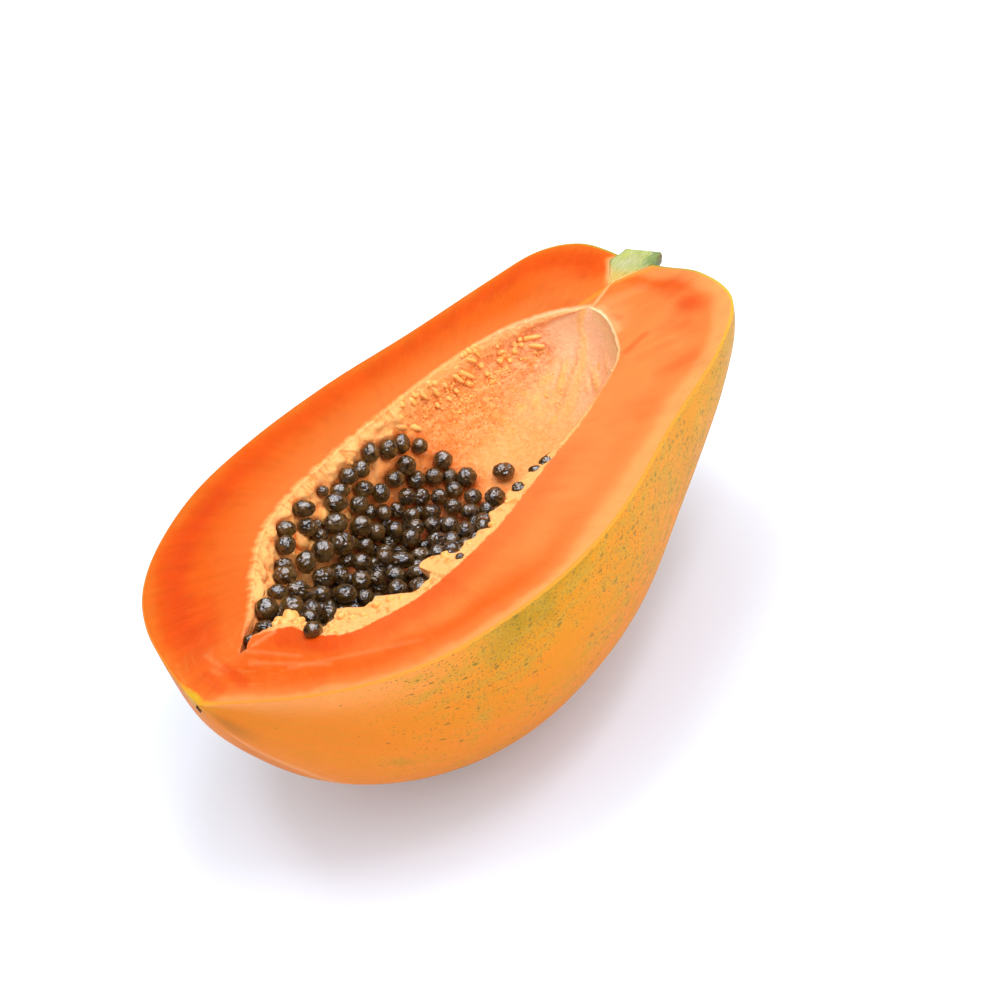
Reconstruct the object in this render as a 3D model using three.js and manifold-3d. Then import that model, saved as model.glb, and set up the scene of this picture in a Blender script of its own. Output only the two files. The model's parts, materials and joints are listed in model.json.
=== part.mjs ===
// One half of a ripe papaya, cut lengthwise from the blossom tip to the stem,
// lying on its rounded back with the cut face up. Millimetres, +Z up.
// The fruit is shaped with its blossom tip at the origin, its length along +X
// and the cut face at z = 0, and is then set down on the ground. Looking from
// the tip to the stem, +Y is the left side.
import * as THREE from 'three';
import { mergeVertices } from 'three/addons/utils/BufferGeometryUtils.js';
import Module from 'manifold-3d';

const wasm = await Module();
wasm.setup();

// ---------- driving dimensions ----------

// Lengthwise profiles of the rind: [distance from the tip, distance from the axis]
const RIND = {
  left: [
    [0, 0], [2.5, 7], [9.5, 22], [19.5, 39], [31.5, 52], [48, 62], [72, 69], [97, 68.5],
    [126, 62.5], [155, 52.2], [185, 43], [200, 37.5], [206, 31], [208, 23], [206, 13], [201, 0],
  ],
  right: [
    [0, 0], [2.5, 6], [10, 23.5], [16.5, 35], [24.5, 45], [36, 54.3], [54, 62], [75, 66.6],
    [98, 66.3], [131, 59.5], [170, 52.3], [190, 42.5], [199.8, 25], [200.5, 13], [201, 0],
  ],
  back: [
    [0, 0], [2.5, 12], [9, 27], [20, 44], [36, 57.8], [58, 68.8], [85, 72.7], [112, 71.5],
    [138, 63], [162, 51], [182, 41], [194, 31.5], [200, 22], [202, 12], [201, 0],
  ],
  axis: [0, -1.8], // sideways place of the axis at the tip and at the stem
  stations: 46,
  sides: 25, // round the half
};

// Lengthwise profiles of the seed cavity
const CAVITY = {
  left: [
    [19, 0], [29, 6.6], [39, 13.2], [50, 22.5], [63, 30.7], [77, 34.2], [99, 34], [118, 32],
    [135, 29.6], [150, 25.8], [163, 19.8], [172, 10.8], [177, 0],
  ],
  right: [
    [19, 0], [25, 5.5], [33, 15.5], [44, 26], [56, 31], [70, 33], [98, 33.6], [124, 32.3],
    [145, 28.6], [158, 23.6], [169.5, 12.9], [175, 5.8], [177, 0],
  ],
  back: [
    [19, 0], [24, 8], [33, 18], [46, 28], [62, 35], [82, 38], [104, 36.5], [126, 32],
    [146, 25.5], [162, 17.5], [172, 9.5], [177, 0],
  ],
  axis: [3, -2],
  stations: 32,
  sides: 18,
};
const CAVITY_START = CAVITY.back[0][0];
const CAVITY_LENGTH = CAVITY.back.at(-1)[0] - CAVITY_START;

const REST_DEPTH = 71.6; // cut face to the ground, which leaves a small flat spot
const END_CROWDING = 0.055; // draws the stations towards both ends
const RIB_COUNT = 5; // the five carpels show as low ribs
const RIB_PHASE = THREE.MathUtils.degToRad(112); // angle of one ridge
const RIB_TIP = 0.013; // rib height at the tip, as a share of the radius
const RIB_MIDDLE = 0.003;
const RIB_STEM = 0.03;
const LOBE_DEPTH = 0.02; // the cavity's own five shallow lobes

// Stem: distance along X, centre Y, half width and depth below the cut face
const STEM = [
  { x: 189.5, y: -1.0, halfWidth: 0.4, depth: 0.4 },
  { x: 195.5, y: -1.6, halfWidth: 4.2, depth: 4.0 },
  { x: 201.2, y: -2.2, halfWidth: 7.6, depth: 7.0 },
  { x: 203.4, y: -2.2, halfWidth: 6.7, depth: 6.5 },
  { x: 207.2, y: -2.2, halfWidth: 6.6, depth: 6.5 },
];
const STEM_SIDES = 28;
const FIT_GAP = 0.35; // air between the stem and its socket

// Soft pegs that held seeds, in rows under the left rim
const PEG = { count: 40, rows: 3, length: 3.6, radius: 1.1, root: 1.2, sides: 5 };
const PEG_START = 0.6; // shares of the cavity's length
const PEG_REACH = 0.27;
const PEG_TOP_ROW = THREE.MathUtils.degToRad(3);
const PEG_ROW_STEP = THREE.MathUtils.degToRad(4);

const SEED_RADIUS = 3.3;
const SEED_LONG = 1.12; // a seed is a little longer than wide
const SEED_PITCH = 7.2;
const SEED_JITTER = 3;
const HEAP_START = 23.5; // where the seeds begin and end, from the tip
const HEAP_END = 124;
const HEAP_BELOW_LEFT = 6; // bare wall between the cut face and the seeds
const HEAP_BELOW_RIGHT = 3;
const HEAP_THIN = 4.1; // from the wall to the middle of the top seeds
const HEAP_THICK = 10;
const CORE_SUNK = 2.2; // the packed seeds below lie this much deeper
const CORE_START = 27;
const CORE_STATIONS = 12;
const CORE_SIDES = 11;
const WALL_GAP = 0.45; // air between the seeds and the cavity wall

// Stray seeds on the bare wall: share of the cavity's length, degrees from the left rim
const LOOSE_SEEDS = [
  { along: 0.688, round: 75 },
  { along: 0.59, round: 170 },
];

const FLESH = { color: 0xf2702a, roughness: 0.45, metalness: 0 };
const STEM_GREEN = { color: 0xa9b06a, roughness: 0.7, metalness: 0 };
const WET_SEED = { color: 0x231812, roughness: 0.25, metalness: 0 };

// ---------- helpers ----------

const smooth = THREE.MathUtils.smoothstep;

// Seeded random numbers (mulberry32), so that every build is the same
function randomSource(seed) {
  let state = seed;
  return () => {
    state = (state + 0x6d2b79f5) | 0;
    let t = Math.imul(state ^ (state >>> 15), 1 | state);
    t = (t + Math.imul(t ^ (t >>> 7), 61 | t)) ^ t;
    return ((t ^ (t >>> 14)) >>> 0) / 4294967296;
  };
}

function toSolid(geometry) {
  const clean = geometry.clone();
  clean.deleteAttribute('normal');
  clean.deleteAttribute('uv');
  const merged = mergeVertices(clean, 1e-4);
  return new wasm.Manifold(new wasm.Mesh({
    numProp: 3,
    vertProperties: new Float32Array(merged.attributes.position.array),
    triVerts: new Uint32Array(merged.index.array),
  }));
}

function toGeometry(solid) {
  const mesh = solid.getMesh();
  const geometry = new THREE.BufferGeometry();
  geometry.setAttribute('position', new THREE.BufferAttribute(mesh.vertProperties, 3));
  geometry.setIndex(new THREE.BufferAttribute(mesh.triVerts, 1));
  geometry.computeVertexNormals();
  return geometry;
}

function indexedGeometry(points, index) {
  const geometry = new THREE.BufferGeometry();
  const positions = points.flatMap((p) => p.toArray());
  geometry.setAttribute('position', new THREE.Float32BufferAttribute(positions, 3));
  geometry.setIndex(index);
  return geometry;
}

const joinAll = (solids) => solids.reduce((whole, solid) => whole.add(solid));

// Drops a scrap that touches nothing
function largestBody(solid) {
  return solid.decompose().reduce((best, body) => (body.volume() > best.volume() ? body : best));
}

// A block wider than the fruit, with its lower face at a height
const BLOCK = 500;
function blockAbove(height) {
  return toSolid(new THREE.BoxGeometry(BLOCK, BLOCK, BLOCK).translate(0, 0, height + BLOCK / 2));
}

// ---------- shapes given by three lengthwise profiles ----------

function profileCurve(points) {
  const curve = new THREE.CatmullRomCurve3(points.map(([x, r]) => new THREE.Vector3(x, r, 0)));
  curve.arcLengthDivisions = 400;
  return curve;
}

function makeShape({ left, right, back, axis }, relief) {
  return {
    left: profileCurve(left),
    right: profileCurve(right),
    back: profileCurve(back),
    axis: (s) => THREE.MathUtils.lerp(axis[0], axis[1], s),
    relief,
  };
}

// Low ribs that grow towards both ends; the outline of the cut face stays as drawn
function ribs(s, t) {
  const height = RIB_MIDDLE + RIB_TIP * (1 - smooth(s, 0, 0.35)) + RIB_STEM * smooth(s, 0.5, 0.9);
  const wave = (angle) => Math.cos(RIB_COUNT * (angle - RIB_PHASE));
  const rim = Math.cos(t) > 0 ? wave(0) : wave(Math.PI);
  return 1 + height * (wave(t) - Math.cos(t) ** 2 * rim);
}

const lobes = (s, t) => 1 + LOBE_DEPTH * Math.sin(t) ** 2 * Math.cos(RIB_COUNT * (t - RIB_PHASE));

const rind = makeShape(RIND, ribs);
const cavity = makeShape(CAVITY, lobes);

// Point on a shape: s runs from tip to stem, t turns from the left rim (0)
// through the back (90 degrees) to the right rim (180 degrees), and a scale
// below 1 draws the point towards the axis
function pointOn(shape, s, t, scale = 1) {
  const side = (Math.cos(t) > 0 ? shape.left : shape.right).getPointAt(s);
  const back = shape.back.getPointAt(s);
  const share = Math.cos(t) ** 2;
  const x = side.x * share + back.x * (1 - share);
  const r = (side.y * share + back.y * (1 - share)) * shape.relief(s, t) * scale;
  return new THREE.Vector3(x, shape.axis(s) + r * Math.cos(t), -r * Math.sin(t));
}

// Point moved off the shape's wall towards its inside
function pointInside(shape, s, t, inset) {
  const step = 0.004;
  const before = pointOn(shape, Math.max(s - step, 0), t);
  const after = pointOn(shape, Math.min(s + step, 1), t);
  const around = pointOn(shape, s, t + step).sub(pointOn(shape, s, t - step));
  const inward = around.cross(after.sub(before)).normalize();
  return pointOn(shape, s, t).addScaledVector(inward, inset);
}

// A closed body from rings of points between a start and an end point
function loft(rings, start, end) {
  const sides = rings[0].length;
  const lastRing = (rings.length - 1) * sides;
  const startIndex = rings.length * sides;
  const endIndex = startIndex + 1;
  const index = [];
  for (let j = 0; j < sides; j += 1) {
    const next = (j + 1) % sides;
    index.push(startIndex, j, next, endIndex, lastRing + next, lastRing + j);
    for (let base = 0; base < lastRing; base += sides) {
      const a = base + j;
      const b = base + next;
      index.push(a, a + sides, b + sides, a, b + sides, b);
    }
  }
  return indexedGeometry([...rings.flat(), start, end], index);
}

// Rings lie closer together at the tip and round the stem
function ringsOf(stations, ringAt) {
  return Array.from({ length: stations - 1 }, (_, i) => {
    const u = (i + 1) / stations;
    return ringAt(u - END_CROWDING * Math.sin(2 * Math.PI * u));
  });
}

// ---------- the half fruit ----------

// The half inside its skin, closed by the flat cut face
function fleshBody() {
  const rings = ringsOf(RIND.stations, (s) => Array.from(
    { length: RIND.sides + 1 },
    (_, j) => pointOn(rind, s, (Math.PI * j) / RIND.sides),
  ));
  return toSolid(loft(rings, pointOn(rind, 0, 0), pointOn(rind, 1, 0)));
}

// The cavity as a full round body, so that it also opens the cut face
function cavityBody(inset) {
  const rings = ringsOf(CAVITY.stations, (s) => Array.from(
    { length: 2 * CAVITY.sides },
    (_, j) => pointInside(cavity, s, (Math.PI * j) / CAVITY.sides, inset),
  ));
  const start = pointOn(cavity, 0, 0);
  const end = pointOn(cavity, 1, 0);
  start.x += 1.5 * inset;
  end.x -= inset;
  return toSolid(loft(rings, start, end));
}

// The stem as a full round body with a wedge that runs into the flesh
function stemBody(grow) {
  const rings = STEM.map(({ x, y, halfWidth, depth }) => Array.from(
    { length: STEM_SIDES },
    (_, j) => {
      const t = (2 * Math.PI * (j + 0.5)) / STEM_SIDES;
      const across = (halfWidth + grow) * Math.cos(t);
      return new THREE.Vector3(x, y + across, -(depth + grow) * Math.sin(t));
    },
  ));
  const [first] = STEM;
  const last = STEM.at(-1);
  return toSolid(loft(
    rings,
    new THREE.Vector3(first.x - 0.4 - grow, first.y, 0),
    new THREE.Vector3(last.x, last.y, 0),
  ));
}

function peg(root, top, size) {
  const along = top.clone().sub(root);
  const shape = new THREE.CylinderGeometry(0.65 * size, size, along.length(), PEG.sides, 1);
  shape.translate(0, along.length() / 2, 0);
  const up = new THREE.Vector3(0, 1, 0);
  shape.applyQuaternion(new THREE.Quaternion().setFromUnitVectors(up, along.normalize()));
  return toSolid(shape.translate(root.x, root.y, root.z));
}

function pegs() {
  const random = randomSource(11);
  return joinAll(Array.from({ length: PEG.count }, (_, i) => {
    const s = PEG_START + (PEG_REACH * (i + random())) / PEG.count;
    const t = PEG_TOP_ROW + PEG_ROW_STEP * ((i % PEG.rows) + 0.75 * random());
    const size = 0.75 + 0.5 * random();
    const root = pointInside(cavity, s, t, -PEG.root);
    const top = pointInside(cavity, s, t, PEG.length * size - PEG.root);
    top.z += 0.4 * PEG.length * (random() - 0.5);
    top.x -= 0.8 * PEG.length * random();
    return peg(root, top, PEG.radius * size);
  }));
}

function papayaHalf() {
  return fleshBody()
    .subtract(cavityBody(0))
    .add(pegs())
    .subtract(blockAbove(0))
    .subtract(stemBody(FIT_GAP))
    .subtract(blockAbove(-REST_DEPTH - BLOCK));
}

// ---------- the seeds ----------

// How far along the cavity the seeds reach: furthest along the back, least at the rims
const heapEnd = (t) => 0.52 + 0.125 * smooth(t, 0, 0.6) - 0.12 * smooth(t, 1.8, 3.0);

function radiusAt(s, t) {
  const p = pointOn(cavity, s, t);
  return Math.hypot(p.y - cavity.axis(s), p.z);
}

// First and last angle that seeds take at a station, below each rim
function heapEdges(s) {
  const radius = radiusAt(s, Math.PI / 2);
  const angle = (below) => Math.asin(Math.min(0.9, below / radius));
  return [angle(HEAP_BELOW_LEFT), Math.PI - angle(HEAP_BELOW_RIGHT)];
}

// Distance from the wall to the middle of the top seeds: one seed deep at the
// heap's edges, deeper in its middle, and nearly full at the cavity's narrow tip
function heapDepth(s, t) {
  const [low, high] = heapEdges(s);
  const radius = radiusAt(s, t);
  const inwards = smooth(t, low - 0.1, low + 0.7) * (1 - smooth(t, high - 0.7, high + 0.1));
  const fromEnd = 1 - smooth(s, heapEnd(t) - 0.2, heapEnd(t));
  const full = 0.92 * radius;
  const deepest = Math.max(full * (1 - smooth(s, 0.12, 0.34)), HEAP_THICK);
  return Math.min(HEAP_THIN + (deepest - HEAP_THIN) * inwards * fromEnd, full);
}

// Point on the heap's surface, or sunk below it
function heapPoint(s, t, sunk = 0) {
  const scale = 1 - (heapDepth(s, t) - sunk) / radiusAt(s, t);
  return pointOn(cavity, s, t, Math.min(scale, 0.96));
}

// Line across the heap from the left rim to the right one
function heapRing(s) {
  const [low, high] = heapEdges(s);
  const knots = 8;
  const points = Array.from(
    { length: knots + 1 },
    (_, k) => heapPoint(s, THREE.MathUtils.lerp(low, high, k / knots)),
  );
  return new THREE.CatmullRomCurve3(points);
}

// Rings of seeds on the heap's surface, each ring turned at random
function heapCentres(random) {
  const centres = [];
  for (let x = HEAP_START; x < HEAP_END; x += SEED_PITCH) {
    const s = (x - CAVITY_START) / CAVITY_LENGTH;
    const ring = heapRing(s);
    const count = Math.max(1, Math.round(ring.getLength() / SEED_PITCH));
    const turn = random();
    for (let j = 0; j < count; j += 1) {
      const centre = ring.getPointAt((j + turn) / count);
      const t = Math.atan2(-centre.z, centre.y - cavity.axis(s));
      centre.x += SEED_JITTER * (random() - 0.5);
      if (s < heapEnd(t)) centres.push(centre);
    }
  }
  return centres;
}

// Moves crowded seeds apart, a little at a time
function spread(centres, apart) {
  for (let round = 0; round < 12; round += 1) {
    centres.forEach((a, i) => centres.slice(i + 1).forEach((b) => {
      const between = b.clone().sub(a);
      const short = apart - between.length();
      if (short <= 0) return;
      between.setLength(0.4 * short);
      b.add(between);
      a.sub(between);
    }));
  }
}

const SEED_SHAPE = new THREE.SphereGeometry(1, 7, 4);

function seedAt(centre, random) {
  const size = SEED_RADIUS * (0.92 + 0.16 * random());
  const turn = new THREE.Euler(3 * random(), 3 * random(), 3 * random());
  const place = new THREE.Matrix4().compose(
    centre,
    new THREE.Quaternion().setFromEuler(turn),
    new THREE.Vector3(size, size, size * SEED_LONG),
  );
  return toSolid(SEED_SHAPE.clone().applyMatrix4(place));
}

// A closed body between two grids of points with the same rows and columns,
// the first one outside
function thickSheet(outer, inner) {
  const rows = outer.length;
  const columns = outer[0].length;
  const under = rows * columns;
  const at = (i, j) => i * columns + j;
  const index = [];
  const quad = (a, b, c, d) => index.push(a, b, c, a, c, d);
  const edge = (a, b) => quad(a, under + a, under + b, b);
  for (let i = 0; i < rows - 1; i += 1) {
    for (let j = 0; j < columns - 1; j += 1) {
      const corners = [at(i, j), at(i + 1, j), at(i + 1, j + 1), at(i, j + 1)];
      quad(...corners);
      quad(...corners.reverse().map((corner) => under + corner));
    }
    edge(at(i, 0), at(i + 1, 0));
    edge(at(i + 1, columns - 1), at(i, columns - 1));
  }
  for (let j = 0; j < columns - 1; j += 1) {
    edge(at(0, j + 1), at(0, j));
    edge(at(rows - 1, j), at(rows - 1, j + 1));
  }
  return indexedGeometry([...outer.flat(), ...inner.flat()], index);
}

// The seeds packed out of sight below the top ones
function heapCore() {
  const start = (CORE_START - CAVITY_START) / CAVITY_LENGTH;
  const gridOf = (point) => Array.from({ length: CORE_STATIONS + 1 }, (_, i) => {
    const u = i / CORE_STATIONS;
    const [low, high] = heapEdges(THREE.MathUtils.lerp(start, 0.6, u));
    return Array.from({ length: CORE_SIDES + 1 }, (__, j) => {
      const t = THREE.MathUtils.lerp(low + 0.06, high - 0.06, j / CORE_SIDES);
      return point(THREE.MathUtils.lerp(start, heapEnd(t) - 0.01, u), t);
    });
  });
  const beyondWall = gridOf((s, t) => pointOn(cavity, s, t, 1.03));
  const top = gridOf((s, t) => heapPoint(s, t, CORE_SUNK));
  return toSolid(thickSheet(beyondWall, top));
}

function seedHeap() {
  const random = randomSource(5);
  const centres = heapCentres(random);
  spread(centres, 2.05 * SEED_RADIUS);
  const seeds = centres.map((centre) => seedAt(centre, random));
  return largestBody(joinAll([heapCore(), ...seeds]).intersect(cavityBody(WALL_GAP)));
}

function looseSeed({ along, round }, random) {
  const offWall = 1.25 * SEED_RADIUS + WALL_GAP;
  return seedAt(pointInside(cavity, along, THREE.MathUtils.degToRad(round), offWall), random);
}

// ---------- assembly ----------

const papaya = new THREE.Group();

function addNode(name, solid, look) {
  const mesh = new THREE.Mesh(toGeometry(solid), new THREE.MeshStandardMaterial(look));
  mesh.name = name;
  papaya.add(mesh);
}

addNode('papaya_half', papayaHalf(), FLESH);
addNode('stem', stemBody(0).subtract(blockAbove(0)), STEM_GREEN);
addNode('seeds', seedHeap(), WET_SEED);
const looseTurns = randomSource(3);
LOOSE_SEEDS.forEach((place, i) => {
  addNode(`seed_loose_${i + 1}`, looseSeed(place, looseTurns), WET_SEED);
});

// The origin lies on the ground below the middle of the fruit
const middle = new THREE.Box3().setFromObject(papaya).getCenter(new THREE.Vector3());
papaya.position.set(-middle.x, -middle.y, REST_DEPTH);

export default papaya;
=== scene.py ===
"""The looks of the halved papaya: fine flesh, skin, lining, seeds and stem around the packed CAD.

The fruit is shaped in its own frame, in millimetres: the blossom tip at the origin, +X towards the
stem, the cut face at z = 0 and the flesh below it. +Y is the left side, seen from tip to stem.
Along it s runs from 0 at the tip to 1 at the stem. Round it t, or deg in degrees, runs from 0 at
the left rim by the back to pi at the right rim.
"""
import json
import math
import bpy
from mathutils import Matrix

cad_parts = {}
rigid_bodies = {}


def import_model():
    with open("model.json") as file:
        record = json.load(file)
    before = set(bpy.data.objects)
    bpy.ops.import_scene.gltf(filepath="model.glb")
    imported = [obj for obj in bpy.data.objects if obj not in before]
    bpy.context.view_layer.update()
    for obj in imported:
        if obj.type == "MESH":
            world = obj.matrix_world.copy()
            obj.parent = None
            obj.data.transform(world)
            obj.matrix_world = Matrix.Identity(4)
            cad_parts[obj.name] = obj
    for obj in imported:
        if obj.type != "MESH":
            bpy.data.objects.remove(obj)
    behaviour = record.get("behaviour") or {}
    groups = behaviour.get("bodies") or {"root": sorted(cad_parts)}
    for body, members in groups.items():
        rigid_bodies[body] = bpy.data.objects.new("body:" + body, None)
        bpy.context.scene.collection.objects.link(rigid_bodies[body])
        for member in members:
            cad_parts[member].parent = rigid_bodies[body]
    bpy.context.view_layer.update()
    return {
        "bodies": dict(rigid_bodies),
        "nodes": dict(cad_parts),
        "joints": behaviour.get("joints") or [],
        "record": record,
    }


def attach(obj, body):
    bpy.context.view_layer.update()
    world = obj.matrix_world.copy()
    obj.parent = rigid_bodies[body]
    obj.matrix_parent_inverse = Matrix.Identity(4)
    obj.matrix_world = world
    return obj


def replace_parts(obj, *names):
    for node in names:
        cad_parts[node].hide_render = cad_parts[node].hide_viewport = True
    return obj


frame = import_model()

from types import SimpleNamespace

import bmesh
import bpy
import numpy as np
from mathutils import Matrix, Vector

# ---------------------------------------------------------------- named values

TIP_AT = np.array([-103.9716, -0.494, 71.6])  # the blossom tip in the row frame, in mm

# Lengthwise profiles: [distance from the tip, distance from the axis]
RIND = {
    "left": [
        [0, 0], [2.5, 7], [9.5, 22], [19.5, 39], [31.5, 52], [48, 62], [72, 69], [97, 68.5],
        [126, 62.5], [155, 52.2], [185, 43], [200, 37.5], [206, 31], [208, 23], [206, 13],
        [201, 0],
    ],
    "right": [
        [0, 0], [2.5, 6], [10, 23.5], [16.5, 35], [24.5, 45], [36, 54.3], [54, 62], [75, 66.6],
        [98, 66.3], [131, 59.5], [170, 52.3], [190, 42.5], [199.8, 25], [200.5, 13], [201, 0],
    ],
    "back": [
        [0, 0], [2.5, 12], [9, 27], [20, 44], [36, 57.8], [58, 68.8], [85, 72.7], [112, 71.5],
        [138, 63], [162, 51], [182, 41], [194, 31.5], [200, 22], [202, 12], [201, 0],
    ],
    "axis": (0, -1.8),
}
CAVITY = {
    "left": [
        [19, 0], [29, 6.6], [39, 13.2], [50, 22.5], [63, 30.7], [77, 34.2], [99, 34], [118, 32],
        [135, 29.6], [150, 25.8], [163, 19.8], [172, 10.8], [177, 0],
    ],
    "right": [
        [19, 0], [25, 5.5], [33, 15.5], [44, 26], [56, 31], [70, 33], [98, 33.6], [124, 32.3],
        [145, 28.6], [158, 23.6], [169.5, 12.9], [175, 5.8], [177, 0],
    ],
    "back": [
        [19, 0], [24, 8], [33, 18], [46, 28], [62, 35], [82, 38], [104, 36.5], [126, 32],
        [146, 25.5], [162, 17.5], [172, 9.5], [177, 0],
    ],
    "axis": (3, -2),
}
CAVITY_START = 19
CAVITY_LENGTH = 158
# Ribs of the rind and lobes of the cavity, whose heights are shares of the radius
RIB_COUNT = 5
RIB_PHASE = math.radians(112)
RIB_MIDDLE = 0.003
RIB_TIP, RIB_STEM = 0.013, 0.03  # added at the tip and at the stem
LOBE_DEPTH = 0.02
END_CROWDING = 0.055  # stations lie closer together towards both ends

STATIONS = 290  # along the fruit
SKIN_SIDES = 72  # round the rind
WALL_SIDES = 168  # round the cavity
SKIN_EDGE = [0.3, 0.8, 1.5, 2.4, 3.6]  # first columns of the cut face, from the skin
LINING_EDGE = [5.6, 4.6, 3.7, 2.9, 2.2, 1.5, 0.9, 0.4]  # last ones, before the cavity
FACE_COLUMNS = 26  # between them
EDGE_ROUNDING = 0.18  # mm
RIM_STEP = math.radians(0.9)  # first column of the skin, below the cut
SKIN_UNEVEN = 0.18  # mm
FLAP_REACH = 0.42  # how far down the wall its torn right edge bends, in radians
FLAP_TURNS = (0.122, 0.136)  # where the flap turns from flesh to lining, away from the tip

# How far the coordinates that noise and materials read run along the fruit and across it
RELIEF_LENGTH, GRAIN_LENGTH, WALL_GRAIN = 180, 190, 108
SKIN_GRAIN_LENGTH, SKIN_GRAIN_DEGREE, RIM_GRAIN = 265, 1.1, 198.0
CUT_LINE = 1.1  # width of the bright line of the skin along the cut, partly painted light
RIGHT_SIDE_AWAY = 400  # keeps the noise of the right side apart from the left
SKIN_RIB_HIGHLIGHT = ([0.03, 0.13, 0.24], [104, 108, 101])  # s and degrees of the painted highlight along the rib by the tip
WALL_RADIUS = ([0, 0.25, 0.6, 0.9, 1], [2, 34, 34, 18, 3])  # s and about the radius there in mm

# Width of the pale lining on the cut face along the rims: [share of length, mm]
RIGHT_BAND = [
    [0, 0.3], [0.045, 0.4], [0.07, 1.3], [0.1, 2.6], [0.12, 3.1], [0.14, 3], [0.16, 4.3],
    [0.3, 4.6], [0.42, 4.2], [0.5, 2.6], [0.56, 1.6], [0.66, 1.3], [0.72, 0.7], [0.8, 0.8],
    [0.97, 0.7], [1, 0.4],
]
LEFT_BAND = [[0, 0.3], [0.08, 0.4], [0.16, 1.1], [1, 1]]
LEFT_SOFTNESS, RIGHT_SOFTNESS = 1.4, 0.45  # half the width over which the lining turns to flesh

# Soft lobes of the lining beside the seeds: [from pixel, to pixel, half width, height in mm]
LOBES = [
    [(306, 489), (322, 501), 2.0, 1.7], [(272, 510), (298, 513), 1.9, 1.5],
    [(259, 549), (279, 551), 1.9, 1.4], [(255, 563), (273, 563), 1.7, 1.2],
    [(252, 579), (270, 576), 1.7, 1.2], [(335, 444), (348, 461), 1.9, 1.5],
    [(347, 440), (363, 457), 1.6, 1.6], [(320, 463), (337, 474), 1.9, 1.4],
    [(318, 476), (337, 484), 1.7, 1.4], [(294, 539), (313, 543), 1.9, 2.2],
    [(314, 509), (329, 522), 2.0, 2.0], [(362, 436), (380, 441), 1.6, 1.3],
    [(383, 419), (404, 424), 1.6, 1.3], [(250, 605), (262, 600), 1.5, 1.2],
    [(266, 533), (279, 536), 1.5, 1.3], [(292, 496), (308, 503), 1.7, 1.3],
]

# The flat vein on the cavity's floor, in pixels, and ridges of old stalks beside it
VEIN = [(583, 312), (584, 340), (583, 364), (574, 394), (561, 430)]
RIDGES = [
    [(567, 356), (560, 388), 1.5, 0.8], [(591, 362), (598, 388), 1.7, 0.9],
    [(586, 374), (589, 392), 1.1, 0.5], [(541, 388), (535, 404), 1.8, 0.5],
    [(559, 413), (552, 424), 1.3, 0.6], [(573, 372), (566, 392), 1.2, 0.4],
    [(550, 372), (545, 392), 1.6, 0.4], [(604, 352), (608, 370), 1.2, 0.4],
]

# The heap of seeds, in mm: its ends, how far it starts below each rim, and its depth
HEAP_START, HEAP_END = 23.5, 124
HEAP_BELOW_LEFT, HEAP_BELOW_RIGHT = 6, 3
HEAP_THIN, HEAP_THICK = 4.1, 10  # at its edges, and at least this between them

# Seeds that the photograph shows: (pixel across, pixel down, half width, half height), in pixels
SEEDS_FRONT = [
    (389, 449, 9.5, 10.9), (371, 453, 8.8, 10.9), (420, 446, 8.4, 8.4), (349, 476, 10.1, 9.0),
    (443, 460, 9.9, 9.9), (407, 466, 10.1, 10.1), (467, 477, 10.5, 10.5), (364, 489, 10.1, 8.8),
    (381, 493, 9.5, 10.5), (336, 502, 12.6, 10.1), (359, 505, 9.9, 9.9), (304, 509, 12.2, 8.8),
    (439, 497, 9.0, 9.0), (473, 497, 9.5, 8.8), (495, 497, 10.9, 10.5), (453, 507, 9.5, 9.0),
    (484, 522, 9.5, 10.1), (431, 513, 10.1, 8.4), (308, 527, 10.1, 10.1), (286, 544, 10.1, 10.5),
    (336, 523, 12.6, 11.4), (361, 526, 12.6, 10.9), (416, 528, 8.8, 9.5), (432, 525, 9.0, 9.0),
    (449, 525, 8.8, 9.5), (466, 531, 9.5, 9.5), (342, 544, 12.6, 12.2), (323, 551, 12.0, 12.0),
    (306, 562, 10.5, 12.0), (285, 575, 12.0, 9.9), (438, 541, 10.1, 9.0), (402, 560, 13.0, 9.0),
    (361, 562, 10.5, 8.8), (298, 590, 13.0, 10.1), (322, 578, 10.5, 10.5), (361, 580, 10.5, 10.1),
    (396, 575, 10.5, 8.8), (419, 572, 12.2, 8.4), (419, 586, 10.5, 8.8), (267, 609, 12.2, 11.8),
    (292, 607, 12.0, 10.9), (321, 594, 9.5, 8.8), (345, 594, 12.6, 10.1), (365, 597, 8.4, 8.0),
    (398, 589, 9.5, 10.1), (312, 610, 9.5, 10.5), (329, 615, 8.8, 10.9),
    (266, 627, 11.6, 7), (252, 640, 9, 6), (452, 549, 11.6, 8.0), (377, 578, 8.0, 7.6),
]
SEEDS_BEHIND = [
    (401, 444, 8.8, 10.5), (361, 469, 9.0, 9.3), (395, 479, 10.1, 9.0), (416, 479, 10.1, 9.5),
    (435, 477, 9.9, 9.5), (454, 490, 9.5, 9.0), (340, 491, 10.1, 8.0), (407, 497, 9.5, 9.0),
    (470, 512, 10.5, 9.0), (286, 530, 10.9, 8.8), (319, 535, 9.5, 8.4), (284, 565, 10.1, 8.0),
    (407, 540, 9.5, 8.0), (384, 553, 9.5, 8.0), (421, 555, 10.5, 8.0), (341, 576, 9.0, 8.0),
    (278, 592, 10.1, 8.0), (379, 587, 8.0, 6.7), (354, 609, 8.0, 6.3), (323, 491, 6.5, 5.6),
    (472, 538, 9.5, 5.6),
]
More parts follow.
